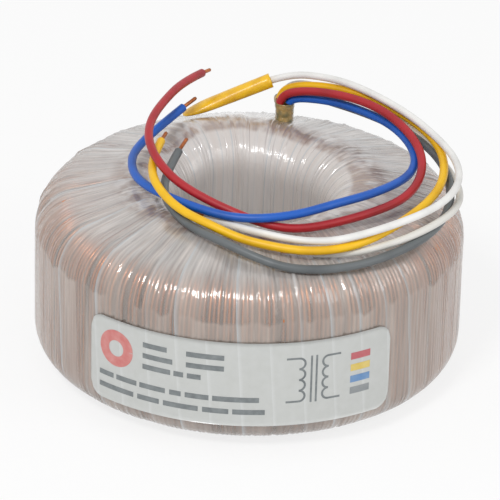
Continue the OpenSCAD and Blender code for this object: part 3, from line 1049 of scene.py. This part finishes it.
@dataclass
class FilmWrap:
    """The clear film: drawn over the turns, pleated at the bore, crinkled at the shoulder."""

    section: CoilSection
    windings: SecondaryPair
    pad: LeadPad
    depth: float = 0.00022
    columns: int = 1160
    sag: float = 0.00032
    reach: float = 0.0008
    pleats: int = 190
    pleat_height: float = 0.00026
    crinkles: int = 420
    crinkle_height: float = 0.0003
    lumps: float = 0.00022
    lump_count: int = 60
    crinkle_reach: float = 0.12
    floor_gap: float = 0.00002
    seed: int = 23

    def sink_between_wires(self, headings: np.ndarray, radius: np.ndarray) -> np.ndarray:
        """Lets the film sink a little between the wires on the wall.

        Args:
            headings: the directions of the mesh's columns.
            radius: the radius of each point of the section.

        Returns:
            Heights, one row for each direction.
        """
        relief = np.zeros((len(headings), len(radius)))
        wires = np.sort(self.windings.wire_headings(radius) % (2 * math.pi), axis=0)
        on_wall = smooth(radius, 0.03, 0.043)
        for k in range(len(radius)):
            row = wires[:, k]
            ring = np.concatenate([row[-1:] - 2 * math.pi, row, row[:1] + 2 * math.pi])
            after = np.searchsorted(ring, headings)
            near = np.minimum(headings - ring[after - 1], ring[after] - headings)
            away = near * radius[k]
            relief[:, k] -= on_wall[k] * self.sag * (1 - np.exp(-(away / self.reach) ** 2))
        return relief

    def raise_pleats(self, relief: np.ndarray, chance: np.random.Generator,
                     headings: np.ndarray, radius: np.ndarray, length: np.ndarray) -> None:
        """Adds pleats that run out from the bore.

        Args:
            relief: the heights that the pleats are added to.
            chance: the source of random draws.
            headings: the directions of the mesh's columns.
            radius: the radius of each point of the section.
            length: the distance along the section to each point.
        """
        inside = 1 - smooth(radius, self.section.bore_r + 0.006, self.section.outer_r - 0.008)
        for _ in range(self.pleats):
            middle = chance.uniform(0, 2 * math.pi)
            width = math.radians(chance.uniform(0.35, 1.3))
            size = self.pleat_height * chance.uniform(-1.0, 1.0)
            skew = chance.normal(0, 0.6)
            away = round_trip(headings[:, None] - middle - skew * length[None, :])
            reach = inside * smooth(inside, chance.uniform(0, 0.5), 1)
            relief += size * reach[None, :] * np.exp(-(away / width) ** 2)

    def crinkle_shoulder(self, relief: np.ndarray, chance: np.random.Generator,
                         headings: np.ndarray, shoulder: np.ndarray,
                         length: np.ndarray) -> None:
        """Adds short crinkles over the shoulder, each leaning its own way.

        Args:
            relief: the heights that the crinkles are added to.
            chance: the source of random draws.
            headings: the directions of the mesh's columns.
            shoulder: the numbers of the section's points on the shoulder.
            length: the distance along the section to each point.
        """
        for _ in range(self.crinkles):
            middle = chance.uniform(0, 2 * math.pi)
            place = length[int(chance.choice(shoulder))]
            across, along = chance.uniform(0.0003, 0.0007), chance.uniform(0.0015, 0.006)
            lean = chance.normal(0, 0.3)
            size = self.crinkle_height * chance.uniform(-1.0, 1.0)
            columns = np.flatnonzero(
                np.abs(round_trip(headings - middle)) < self.crinkle_reach)
            x = round_trip(headings[columns] - middle)[:, None] * self.section.outer_r
            y = (length - place)[None, :]
            u = x * math.cos(lean) + y * math.sin(lean)
            v = y * math.cos(lean) - x * math.sin(lean)
            relief[columns] += size * np.exp(-(u / across) ** 2 - (v / along) ** 2)

    def swell(self, relief: np.ndarray, chance: np.random.Generator,
              headings: np.ndarray, length: np.ndarray) -> None:
        """Adds broad lumps, where the coil under the film isn't even.

        Args:
            relief: the heights that the lumps are added to.
            chance: the source of random draws.
            headings: the directions of the mesh's columns.
            length: the distance along the section to each point.
        """
        for _ in range(self.lump_count):
            middle, width = chance.uniform(0, 2 * math.pi), math.radians(chance.uniform(2, 6))
            place, spread = chance.uniform(0, length[-1]), chance.uniform(0.006, 0.02)
            bulge = np.exp(-(round_trip(headings - middle) / width) ** 2)
            relief += (self.lumps * chance.uniform(-1.0, 0.6) * bulge[:, None]
                       * np.exp(-((length - place) / spread) ** 2)[None, :])

    def relief(self, headings: np.ndarray, outline: np.ndarray) -> np.ndarray:
        """How far the film stands off its even surface.

        Args:
            headings: the directions of the mesh's columns.
            outline: the section's points.

        Returns:
            Heights, one row for each direction.
        """
        chance = np.random.default_rng(self.seed)
        radius, height = outline[:, 0], outline[:, 1]
        length = np.concatenate([[0], np.cumsum(np.hypot(np.diff(radius), np.diff(height)))])
        shoulder = np.flatnonzero((radius > self.section.outer_r - 0.013)
                                  & (height > self.section.crest_h - 0.014))
        relief = self.sink_between_wires(headings, radius)
        self.raise_pleats(relief, chance, headings, radius, length)
        self.crinkle_shoulder(relief, chance, headings, shoulder, length)
        self.swell(relief, chance, headings, length)
        return relief

    def build(self) -> bpy.types.Object:
        """Builds the film as one closed surface round the ring."""
        low = self.section.outline(self.depth)
        high = self.section.outline(self.depth, lift=self.pad.height)
        headings = np.linspace(0, 2 * math.pi, self.columns, endpoint=False)
        relief = self.relief(headings, low)
        rise = self.pad.rise(headings)[:, None, None]
        rows = low[None] * (1 - rise) + high[None] * rise
        rows = rows + np.concatenate([rows[..., 2:4] * relief[..., None],
                                      np.zeros_like(rows[..., :2])], axis=-1)
        radius, height = rows[..., 0], np.maximum(rows[..., 1], self.floor_gap)
        points = np.stack([radius * np.cos(headings)[:, None],
                           radius * np.sin(headings)[:, None], height], axis=-1)
        finish = WrappedFilm("wrapped_polyester_film", outer_r=self.section.outer_r,
                             bore_r=self.section.bore_r)
        return piece("film_laps", points.reshape(-1, 3),
                     flipped(grid_faces(len(headings), len(low), True, True)),
                     finish.make(), ("outer_wrap",))


# ---------------------------------------------------------------- label

@dataclass
class RatingLabel:
    """The printed label bent round the wall, with plain bars where a maker's words go."""

    section: CoilSection
    low_corner: Vector = field(init=False)
    high_corner: Vector = field(init=False)
    corner_r: float = 0.004
    back_out: float = 0.00006
    face_out: float = 0.0002
    ink_out: float = 0.000235
    bar_mm: float = 1.4
    left_deg: float = 44.0
    right_deg: float = 40.0

    def __post_init__(self) -> None:
        """Takes the label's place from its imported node."""
        self.low_corner, self.high_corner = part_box("rating_label")

    def bent(self, u: np.ndarray, z: np.ndarray, out: float) -> np.ndarray:
        """Bends flat label coordinates round the wall.

        Args:
            u: distance along the wall from the front, to the right.
            z: height.
            out: distance beyond the film's surface.

        Returns:
            The points.
        """
        radius = self.section.outer_r + out
        heading = np.asarray(u) / self.section.outer_r - math.pi / 2
        return np.stack([radius * np.cos(heading), radius * np.sin(heading),
                         np.asarray(z)], axis=-1)

    def edges(self) -> tuple[float, float, float, float]:
        """Left and right edge along the wall, and lower and upper edge."""
        left = -math.radians(self.left_deg) * self.section.outer_r
        right = math.radians(self.right_deg) * self.section.outer_r
        return left, right, self.low_corner.z, self.high_corner.z

    def sheet(self) -> bpy.types.Object:
        """The paper: a rounded rectangle with real thickness."""
        left, right, bottom, top = self.edges()
        across = np.linspace(left, right, 121)
        inset = np.minimum(across - left, right - across)
        short = np.where(inset < self.corner_r,
                         self.corner_r - np.sqrt(np.maximum(
                             self.corner_r ** 2 - (self.corner_r - inset) ** 2, 0)), 0)
        share = np.linspace(0, 1, 21)
        u = np.repeat(across[:, None], len(share), axis=1)
        z = (bottom + short)[:, None] + share[None] * (top - bottom - 2 * short)[:, None]
        curl = 0.00008 * smooth(np.minimum(inset, 0.006), 0.004, 0.0)[:, None] * np.ones_like(z)
        front = self.bent(u, z, self.face_out)
        front[..., :2] *= 1 + (curl / self.section.outer_r)[..., None] * 0.4
        back = self.bent(u, z, self.back_out)
        n, m = u.shape
        points = np.concatenate([front.reshape(-1, 3), back.reshape(-1, 3)])
        faces = grid_faces(n, m)
        faces = flipped(faces) + grid_faces(n, m, start=n * m)
        rim = ([(i, 0) for i in range(n)] + [(n - 1, j) for j in range(1, m)]
               + [(i, m - 1) for i in range(n - 2, -1, -1)]
               + [(0, j) for j in range(m - 2, 0, -1)])
        for one, other in zip(rim, rim[1:] + rim[:1]):
            a, b = one[0] * m + one[1], other[0] * m + other[1]
            faces.append((a, b, b + n * m, a + n * m))
        return piece("rating_label_sheet", points, faces,
                     LabelPaper("coated_label_paper").make(),
                     ("rating_label",))

    def bars(self, name: str, finish: LabelInk,
             marks: list[tuple[float, float, float, float]]) -> bpy.types.Object:
        """Flat printed marks, each a rectangle of ink bent round the wall.

        Args:
            name: the piece's name.
            finish: the ink.
            marks: left, bottom, width and height of each mark, in millimetres from the
                label's lower left corner.

        Returns:
            The piece that holds all the marks.
        """
        left, _, bottom, _ = self.edges()
        points, faces = [], []
        count = 0
        for x, z, width, height in marks:
            columns = max(2, int(width / 1.2) + 2)
            u = left + MM * np.linspace(x, x + width, columns)
            rows = bottom + MM * np.array([z, z + height])
            grid = self.bent(np.repeat(u[:, None], 2, axis=1),
                             np.repeat(rows[None], columns, axis=0), self.ink_out)
            points.append(grid.reshape(-1, 3))
            faces += flipped(grid_faces(columns, 2, start=count))
            count += columns * 2
        return piece(name, np.concatenate(points), faces, finish.make())

    def strokes(self, name: str, finish: LabelInk,
                lines: list[tuple[np.ndarray, float]]) -> bpy.types.Object:
        """Printed lines of an even width along chosen points.

        Args:
            name: the piece's name.
            finish: the ink.
            lines: points of each line, in millimetres from the label's lower left
                corner, and its width.

        Returns:
            The piece that holds all the lines.
        """
        left, _, bottom, _ = self.edges()
        points, faces = [], []
        count = 0
        for line, width in lines:
            way = np.gradient(np.asarray(line, float), axis=0)
            way /= np.linalg.norm(way, axis=1)[:, None]
            across = np.stack([-way[:, 1], way[:, 0]], axis=1) * width / 2
            flat = np.stack([line - across, line + across], axis=1) * MM
            grid = self.bent(left + flat[..., 0], bottom + flat[..., 1], self.ink_out)
            points.append(grid.reshape(-1, 3))
            faces += flipped(grid_faces(len(line), 2, start=count))
            count += 2 * len(line)
        return piece(name, np.concatenate(points), faces, finish.make())

    def winding_sign(self) -> list[tuple[np.ndarray, float]]:
        """Lines of a plain circuit sign: two coils with a core between them."""
        lines = []
        half = np.linspace(-math.pi / 2, math.pi / 2, 13)
        for side, x in ((1.0, 55.5), (-1.0, 63.0)):
            for coil in range(4):
                arc = np.stack([x + side * 1.5 * np.cos(half),
                                8.0 + 3.0 * coil + 1.5 * np.sin(half)], axis=1)
                lines.append((arc, 0.55))
            for z in (6.5, 18.5):
                lines.append((np.array([[x, z], [x - side * 3.2, z]]), 0.55))
        for x in (58.6, 59.9):
            lines.append((np.array([[x, 6.0], [x, 19.0]]), 0.5))
        return lines

    def build(self) -> list[bpy.types.Object]:
        """Builds the sheet, its bars of ink and its winding sign."""
        chance = np.random.default_rng(5)
        dark = []
        for x, z, words in (
                (16.0, 18.0, [6.5]), (27.5, 18.0, [9.5]), (16.0, 15.0, [8.0]),
                (27.5, 15.0, [9.5]), (16.0, 12.0, [7.5, 2.5, 3.5]),
                (3.0, 6.6, [4.5, 6.0, 7.0, 3.0, 6.0, 11.5]),
                (3.0, 3.2, [10.5, 6.0, 9.0, 6.5, 8.0])):
            for width in words:
                dark.append((x, z, width, self.bar_mm))
                x += width + 0.45 * self.bar_mm + float(chance.uniform(0.2, 0.5))
        made = [self.sheet(), self.bars("label_bars", LabelInk("thermal_transfer_ink"), dark),
                self.strokes("label_winding_sign", LabelInk("sign_ink"), self.winding_sign())]
        circle = np.linspace(0, 2 * math.pi, 49)
        ring = np.stack([8.2 + 3.6 * np.cos(circle), 15.2 + 3.6 * np.sin(circle)], axis=1)
        made.append(self.strokes("label_ring", LabelInk("faded_red_ink", "#C9706C", "#D2908B"),
                                 [(ring, 2.8)]))
        patches = {"red": ("#B8525A", "#C06C72"), "yellow": ("#D8BC58", "#DEC878"),
                    "blue": ("#5A86B8", "#7698C0"), "grey": ("#84898B", "#979B9D")}
        for number, (colour, (ink, worn)) in enumerate(patches.items()):
            made.append(self.bars(f"label_patch_{colour}",
                                  LabelInk(f"{colour}_patch_ink", ink, worn),
                                  [(69.0, 15.9 - 3.2 * number, 5.5, 1.9)]))
        return made


# ---------------------------------------------------------------- collar and shrunk sleeve

@dataclass
class LeadCollar:
    """Varnished tape wound round the leads where they come up out of the film."""

    winds: int = 5
    base_z: float = 0.0455
    levels_per_wind: int = 5
    lap_step: float = 0.00022
    waist: float = 0.00035

    def build(self) -> bpy.types.Object:
        """Builds the collar as one closed wall of lapped tape with a dished top."""
        low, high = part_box("lead_collar")
        middle = (low + high) / 2
        half_w, half_l = (high.x - low.x) / 2, (high.y - low.y) / 2
        turn = np.linspace(0, 2 * math.pi, 72, endpoint=False)
        straight = half_l - half_w
        levels = []
        count = self.winds * self.levels_per_wind
        for i in range(count):
            share = i / (count - 1)
            step = self.lap_step * ((share * self.winds) % 1)
            waist = self.waist * math.sin(math.pi * share)
            levels.append((self.base_z + (high.z - self.base_z) * share, -step - waist))
        levels += [(high.z - 0.0001, -0.0006), (high.z - 0.0007, -0.0010),
                   (high.z - 0.0012, -half_w * 0.7)]
        rings = []
        for height, inset in levels:
            r = half_w + inset
            wobble = 1 + 0.02 * np.sin(3 * turn + 900 * height)
            rings.append(np.stack([
                middle.x + r * np.cos(turn) * wobble,
                middle.y + r * np.sin(turn) * wobble + straight * np.tanh(4 * np.sin(turn)),
                np.full_like(turn, height)], axis=1))
        faces = closed_tube(len(levels), len(turn))
        return piece("lead_collar_winds", np.concatenate(rings), faces,
                     VarnishedTape("varnished_glass_tape").make(),
                     ("lead_collar",))


@dataclass
class SpliceSleeve:
    """Yellow shrunk sleeve over the white lead's splice, pinched flat at its root."""

    root: tuple[float, float, float] = (-18.2, 33.7, 50.4)
    mouth: tuple[float, float, float] = (4.5, 38.0, 59.0)
    wall: float = 0.00035

    def build(self) -> bpy.types.Object:
        """Builds a tube that goes from a flat pinch to a cut, open mouth."""
        root, mouth = Vector(self.root) * MM, Vector(self.mouth) * MM
        along = (mouth - root).normalized()
        side = along.cross(Vector((0, 0, 1))).normalized()
        up = side.cross(along)
        turn = np.linspace(0, 2 * math.pi, 40, endpoint=False)
        shares = [0.0, 0.03, 0.08, 0.15, 0.24, 0.34, 0.45, 0.56, 0.67, 0.78, 0.88, 0.96, 1.0]
        widths = [0.7, 1.5, 2.0, 2.25, 2.4, 2.35, 2.2, 2.1, 2.02, 1.97, 1.93, 1.93, 1.96]
        heights = [0.2, 0.45, 0.75, 1.1, 1.4, 1.55, 1.65, 1.75, 1.82, 1.87, 1.9, 1.92, 1.95]
        rings = []
        rows = list(zip(shares, widths, heights))
        bore = self.wall / MM
        rows += [(1.0, 1.96 - bore, 1.95 - bore), (0.92, 1.9 - bore, 1.88 - bore),
                 (0.8, 0.8, 0.8)]
        for share, width, height in rows:
            centre = root.lerp(mouth, share)
            ring = [centre + side * (width * MM * math.cos(a)) + up * (height * MM * math.sin(a))
                    for a in turn]
            rings.append(np.array([tuple(p) for p in ring]))
        faces = closed_tube(len(rows), len(turn))
        return piece("splice_sleeve_shrunk", np.concatenate(rings), flipped(faces),
                     HeatShrink("shrunk_polyolefin").make(),
                     ("splice_sleeve",))


# ---------------------------------------------------------------- leads

class Stripped(Enum):
    """What shows where a lead's insulation is cut back."""

    SOLID = "solid"
    STRANDS = "strands"


@dataclass
class Lead:
    """One flying lead: its insulation along a route, and the copper at its bare end."""

    node: str
    end_node: str
    route_mm: list
    length: float
    diameter: float
    finish: ExtrudedPVC
    slot: str
    stripped: Stripped
    bare_mm: float
    solid_r: float = 0.0005
    strand_r: float = 0.00019
    strands: int = 4
    twist_r: float = 0.00026

    def path(self) -> list[Vector]:
        """The route's points in metres."""
        return [Vector(p) * MM for p in self.route_mm]

    def insulation(self) -> bpy.types.Object:
        """The sleeving, as one round curve on the route's points."""
        points = self.path()
        curve = bpy.data.curves.new(self.node + "_sleeving", "CURVE")
        curve.dimensions = "3D"
        curve.bevel_depth = self.diameter / 2
        curve.bevel_resolution = 5
        curve.use_fill_caps = True
        curve.resolution_u = 10
        spline = curve.splines.new("NURBS")
        spline.points.add(len(points) - 1)
        for target, point in zip(spline.points, points):
            target.co = (*point, 1.0)
        spline.order_u = 4
        spline.use_endpoint_u = True
        curve.materials.append(self.finish.make())
        made = in_scene(self.node + "_sleeving", curve)
        mount(made, (self.node,))
        LOG.info("%s: %.0f mm long", made.name, self.length / MM)
        return made

    def copper(self, material: bpy.types.Material) -> bpy.types.Object:
        """The bare copper past the insulation: one cut solid, or strands twisted together.

        Args:
            material: the copper's finish.

        Returns:
            The piece.
        """
        points = self.path()
        tip = np.array(points[-1])
        way = np.array((points[-1] - points[-2]).normalized())
        side = np.cross(way, (0.0, 0.0, 1.0))
        side /= np.linalg.norm(side)
        up = np.cross(side, way)
        run = np.linspace(-1.0, self.bare_mm, 15) * MM
        parts, faces, count = [], [], 0
        strands = self.strands if self.stripped is Stripped.STRANDS else 1
        radius = self.strand_r if strands > 1 else self.solid_r
        for number in range(strands):
            turn = 2 * math.pi * (number / strands + run * 60)
            out = (self.twist_r if strands > 1 else 0.0) * (1 + smooth(run, 0.004, 0.009) * 0.6)
            bend = 0.0002 * smooth(run, 0.0, self.bare_mm * MM)
            path = (tip + run[:, None] * way + (out * np.cos(turn) + bend)[:, None] * side
                    + (out * np.sin(turn))[:, None] * up)
            radii = np.full(len(run), radius)
            radii[-1] *= 0.72
            ring, quads = swept(path, radii, 12, count)
            parts.append(ring)
            faces += quads
            count += len(ring)
        return piece(self.end_node + "_copper", np.concatenate(parts), faces, material,
                     (self.end_node,))

    def build(self, material: bpy.types.Material,
              others: tuple[bpy.types.Object, ...] = ()) -> bpy.types.Object:
        """Args:
            material: the bare copper's finish.
            others: further pieces that sit on the lead; not used.

        Returns:
            The insulation.
        """
        sleeving = self.insulation()
        end = self.copper(material)
        return sleeving


@dataclass
class LeadSet:
    """The six flying leads, with their routes in millimetres from root to cut end."""

    sleeve: float = 0.0022
    white: float = 0.0019

    def leads(self) -> list[Lead]:
        """The leads in the order in which they leave the coil."""
        return [
            Lead("white_lead_1", "white_strands_1", [
                [4.5, 38, 59], [10, 37, 61.5], [16.5, 34, 62.5], [24, 29.5, 63],
                [31.5, 23, 62.5], [39.5, 16, 61], [45.5, 8, 59.5], [50.5, -0.5, 58],
                [52.5, -9, 57], [51.5, -17, 56], [47.5, -24, 55], [41.5, -30, 54.5],
                [34, -34.5, 53.5], [26.5, -38, 52.5], [19.5, -39.5, 51.5],
                [12.5, -38.5, 51], [5, -36, 51], [-3, -32, 51], [-11, -26.5, 51],
            ], 0.153, self.white, ExtrudedPVC("white_pvc_sleeving", "#ECEBE8", "#D2D1CE"),
                "white_pvc", Stripped.STRANDS, 8.0),
            Lead("white_lead_2", "white_strands_2", [
                [8, 40, 54], [8.5, 40.5, 56], [11.5, 40, 58], [18, 36.5, 58],
                [26.5, 31, 57.5], [35, 24.5, 57.5], [43.5, 15, 55.5], [48.5, 5.5, 52.5],
                [52, -3.5, 51.5], [53, -12.5, 51], [50.5, -20.5, 51], [46, -26.5, 50.5],
                [39.5, -32, 49.5], [32, -36, 48.5], [24.5, -38.5, 47.5], [16, -39, 48],
            ], 0.124, self.white, ExtrudedPVC("ivory_pvc_sleeving", "#DEDCD6", "#C2C0BA"),
                "white_pvc", Stripped.STRANDS, 8.0),
            Lead("red_lead", "red_wire_end", [
                [7, 35, 54], [7.5, 35, 56], [10, 33.5, 58], [15, 31, 59.5],
                [21, 27.5, 60.5], [27.5, 23, 61], [34, 17.5, 60.5], [39, 11, 59],
                [42.5, 4.5, 57], [43.5, -2.5, 55], [42, -9.5, 53], [38, -15.5, 51.5],
                [31.5, -21, 51], [24.5, -26, 51], [17, -29.5, 50.5], [10, -31.5, 50.5],
                [3, -30.5, 51.5], [-4.5, -27.5, 53], [-11.5, -23.5, 54.5], [-18, -18.5, 56],
                [-22.5, -13, 58], [-25.5, -6, 59.5], [-26.5, 1.5, 61], [-25, 9.5, 62],
                [-22, 18, 62.5], [-18.5, 27.5, 62.5], [-13.5, 37, 61],
            ], 0.197, self.sleeve, ExtrudedPVC("red_pvc_sleeving", "#AC1522", "#860713"),
                "red_pvc", Stripped.SOLID, 4.0),
            Lead("yellow_lead", "yellow_wire_end", [
                [7, 37.5, 54], [7.5, 38, 56], [10, 37, 58], [15, 34.5, 59.5],
                [22, 31, 60.5], [29.5, 26.5, 60.5], [37, 20.5, 59.5], [43, 13.5, 58.5],
                [47.5, 6, 57], [49, -2.5, 55.5], [48, -11, 54], [44.5, -19, 53],
                [39, -26.5, 52], [33, -33, 51], [26.5, -38, 50], [19.5, -40.5, 49.5],
                [12, -41, 49.5], [4.5, -39.5, 50], [-3, -37, 50.5], [-10.5, -33, 52.5],
                [-16.5, -28.5, 53], [-21, -23.5, 54.5], [-24, -18, 56], [-25, -11.5, 56.5],
                [-24.5, -4.5, 57], [-23, 2.5, 57.5],
            ], 0.188, self.sleeve, ExtrudedPVC("yellow_pvc_sleeving", "#F2BE00", "#D8A200"),
                "yellow_pvc", Stripped.SOLID, 4.5),
            Lead("blue_lead", "blue_wire_end", [
                [9.5, 35, 54], [10, 35, 55.5], [14.5, 33, 56.5], [21.5, 29, 57.5],
                [29, 23.5, 57.5], [36, 17, 57], [40.5, 9.5, 55.5], [42, 2, 54],
                [40, -5.5, 53.5], [35.5, -12.5, 54], [29, -19.5, 54.5], [21, -25.5, 55],
                [12.5, -30, 54], [3.5, -32, 53.5], [-4.5, -31, 53], [-12.5, -27.5, 53.5],
                [-19.5, -22, 53.5], [-25.5, -15.5, 53], [-29.5, -8.5, 53], [-30.5, -1, 53.5],
                [-29.5, 6.5, 53.5], [-25, 15, 54.5], [-18, 24, 57],
            ], 0.182, self.sleeve, ExtrudedPVC("blue_pvc_sleeving", "#0058BA", "#004496"),
                "blue_pvc", Stripped.SOLID, 5.0),
            Lead("grey_lead", "grey_wire_end", [
                [9.5, 37.5, 54], [10, 38, 55], [13, 37, 56], [19, 33, 56], [26.5, 28, 56],
                [34, 21.5, 56], [41.5, 14, 55.5], [47, 5.5, 54.5], [50, -3.5, 53],
                [50.5, -13, 50.5], [48, -22, 49], [43, -30, 48], [35.5, -36.5, 47],
                [27, -42, 46.5], [18.5, -45, 46.5], [10, -46, 47], [2.5, -44, 48.5],
                [-4, -40.5, 50], [-10.5, -35.5, 50.5], [-15.5, -30, 50.5], [-19.5, -23, 51],
                [-22, -15, 51.5], [-21.5, -7, 53], [-18.5, 2, 55],
            ], 0.191, self.sleeve, ExtrudedPVC("grey_pvc_sleeving", "#626769", "#4C5153"),
                "grey_pvc", Stripped.SOLID, 5.5),
        ]

    def build(self) -> list[bpy.types.Object]:
        """Builds every lead; the shrunk sleeve sits on the first."""
        copper = DrawnCopper("drawn_copper").make()
        sleeve = SpliceSleeve().build()
        return [lead.build(copper, (sleeve,) if number == 0 else ())
                for number, lead in enumerate(self.leads())]


# ---------------------------------------------------------------- hidden inner pieces

@dataclass
class CoreStack:
    """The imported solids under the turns, which keep their form and get their finish."""

    def dress(self, nodes: dict[str, bpy.types.Object]) -> None:
        """Gives each inner node its material.

        Args:
            nodes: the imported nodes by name.
        """
        finishes = {
            "strip_core": MottledSolid("rolled_silicon_steel", "#8A8D90", "#5F6265", 0.35,
                                       1.0, 0.3, 0.03, (0.2, 0.2, 1.0)),
            "core_cap_top": MottledSolid("moulded_nylon", "#D8D2C0", "#C6BFA8", 0.5),
            "core_cap_bottom": MottledSolid("moulded_nylon_lower", "#D8D2C0", "#C6BFA8", 0.5),
            "primary_winding": MottledSolid("primary_enamelled_wire", "#A8643C", "#6E3A20",
                                            0.35, 1.0, 0.45, 0.08, (1.0, 1.0, 0.1)),
            # The tape's dark grey is painted shade for the gaps between the turns, not the tape's own
            # colour
            "interwinding_tape": MottledSolid("interwinding_tape_painted_gap_shade", "#6A6468",
                                              "#524C50", 0.4, 0.0, 4.0, 0.05),
        }
        for name, finish in finishes.items():
            materials = nodes[name].data.materials
            materials.clear()
            materials.append(finish.make())
            LOG.info("%s: dressed as %s", name, finish.name)


# ---------------------------------------------------------------- studio

@dataclass
class Studio:
    """Camera, lamps, floor and surroundings."""

    distance: float = 0.9958
    elevation_deg: float = 27.43
    roll_deg: float = 1.609
    target: tuple[float, float, float] = (0.0, 0.0, 0.0215)
    lens_mm: float = 279.0
    shift: tuple[float, float] = (0.0036, 0.0482)
    surround: float = 0.58
    key_watts: float = 6.5
    key_size: float = 0.26
    key_place: tuple[float, float, float] = (-0.35, -0.75, 1.0)
    fill_place: tuple[float, float, float] = (0.9, -0.5, 0.7)
    fill_share: float = 0.35
    floor_half: float = 4.0
    floor_glow: float = 0.8

    def camera(self) -> None:
        """Sets the camera that frames the transformer from the front, a little above."""
        e, r = math.radians(self.elevation_deg), math.radians(self.roll_deg)
        back = Vector((0.0, -math.cos(e), math.sin(e)))
        right, up = Vector((1.0, 0.0, 0.0)), Vector((0.0, math.sin(e), math.cos(e)))
        rolled_right = right * math.cos(r) + up * math.sin(r)
        rolled_up = up * math.cos(r) - right * math.sin(r)
        place = Vector(self.target) + back * self.distance
        data = bpy.data.cameras.new("studio_camera")
        data.sensor_width = 36.0
        data.lens = self.lens_mm
        data.shift_x, data.shift_y = self.shift
        data.clip_start, data.clip_end = 0.01, 20.0
        made = in_scene("studio_camera", data)
        turn = Matrix((rolled_right, rolled_up, back)).transposed().to_4x4()
        made.matrix_world = Matrix.Translation(place) @ turn
        bpy.context.scene.camera = made

    def lamp(self, name: str, place: tuple[float, float, float], watts: float,
             size: float) -> None:
        """Adds a square lamp that faces the transformer.

        Args:
            name: the lamp's name.
            place: where it hangs.
            watts: its power.
            size: its side.
        """
        data = bpy.data.lights.new(name, "AREA")
        data.energy = watts
        data.size = size
        made = in_scene(name, data)
        made.location = place
        made.rotation_mode = "QUATERNION"
        aim = Vector(self.target) - Vector(place)
        made.rotation_quaternion = aim.to_track_quat("-Z", "Y")

    @staticmethod
    def seen(tree: bpy.types.NodeTree) -> bpy.types.Node:
        """A factor that is 1 for what the camera, a mirror or glass sees."""
        path = add_node(tree, "LightPath")
        seen = add_node(tree, "Math", {"operation": "MAXIMUM"}, {
            0: path.outputs["Is Camera Ray"], 1: path.outputs["Is Glossy Ray"]})
        return add_node(tree, "Math", {"operation": "MAXIMUM"}, {
            0: seen, 1: path.outputs["Is Transmission Ray"]})

    def surroundings(self) -> None:
        """A white world: plain soft light, and plain white where it is seen."""
        world = bpy.data.worlds.new("studio_world")
        world.use_nodes = True
        tree = world.node_tree
        soft = tree.nodes["Background"]
        feed(tree, soft, {"Color": linear("#FFFFFF"), "Strength": self.surround})
        white = add_node(tree, "Background", inputs={"Color": linear("#FFFFFF"),
                                                     "Strength": 1.0})
        mix = add_node(tree, "MixShader", inputs={
            0: self.seen(tree), 1: soft, 2: white})
        feed(tree, tree.nodes["World Output"], {"Surface": mix})
        bpy.context.scene.world = world

    def floor(self) -> None:
        """A white floor that keeps a faint shadow."""
        mesh = bpy.data.meshes.new("studio_floor")
        half = self.floor_half
        mesh.from_pydata([(-half, -half, 0), (half, -half, 0), (half, half, 0),
                          (-half, half, 0)], [], [(0, 1, 2, 3)])
        material = bpy.data.materials.new("matt_white_board")
        material.use_nodes = True
        tree = material.node_tree
        board = tree.nodes["Principled BSDF"]
        feed(tree, board, {
            "Base Color": linear("#F6F6F6"), "Roughness": 0.9, "Specular IOR Level": 0.0})
        glow = add_node(tree, "Emission", inputs={"Color": linear("#FFFFFF"),
                                                  "Strength": 1.0})
        share = add_node(tree, "Math", {"operation": "MULTIPLY"},
                         {0: self.seen(tree), 1: self.floor_glow})
        mix = add_node(tree, "MixShader", inputs={
            0: share, 1: board, 2: glow})
        feed(tree, tree.nodes["Material Output"], {"Surface": mix})
        mesh.materials.append(material)
        in_scene("studio_floor", mesh)

    def build(self) -> None:
        """Sets up the whole studio."""
        bpy.context.scene.view_settings.view_transform = "Standard"
        self.camera()
        self.lamp("key_lamp", self.key_place, self.key_watts, self.key_size)
        self.lamp("fill_lamp", self.fill_place, self.fill_share * self.key_watts,
                  2 * self.key_size)
        self.surroundings()
        self.floor()


def main() -> None:
    """Builds the studio, the leads and then the coil with its label."""
    logging.basicConfig(level=logging.INFO, format="%(name)s: %(message)s")
    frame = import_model()
    Studio().build()
    LeadSet().build()
    section = CoilSection.from_frame(frame)
    windings = SecondaryPair(section)
    pad = LeadPad(section)
    FilmWrap(section, windings, pad).build()
    windings.build()
    pad.build()
    LeadCollar().build()
    RatingLabel(section).build()
    CoreStack().dress(frame["nodes"])


if __name__ == "__main__":
    main()
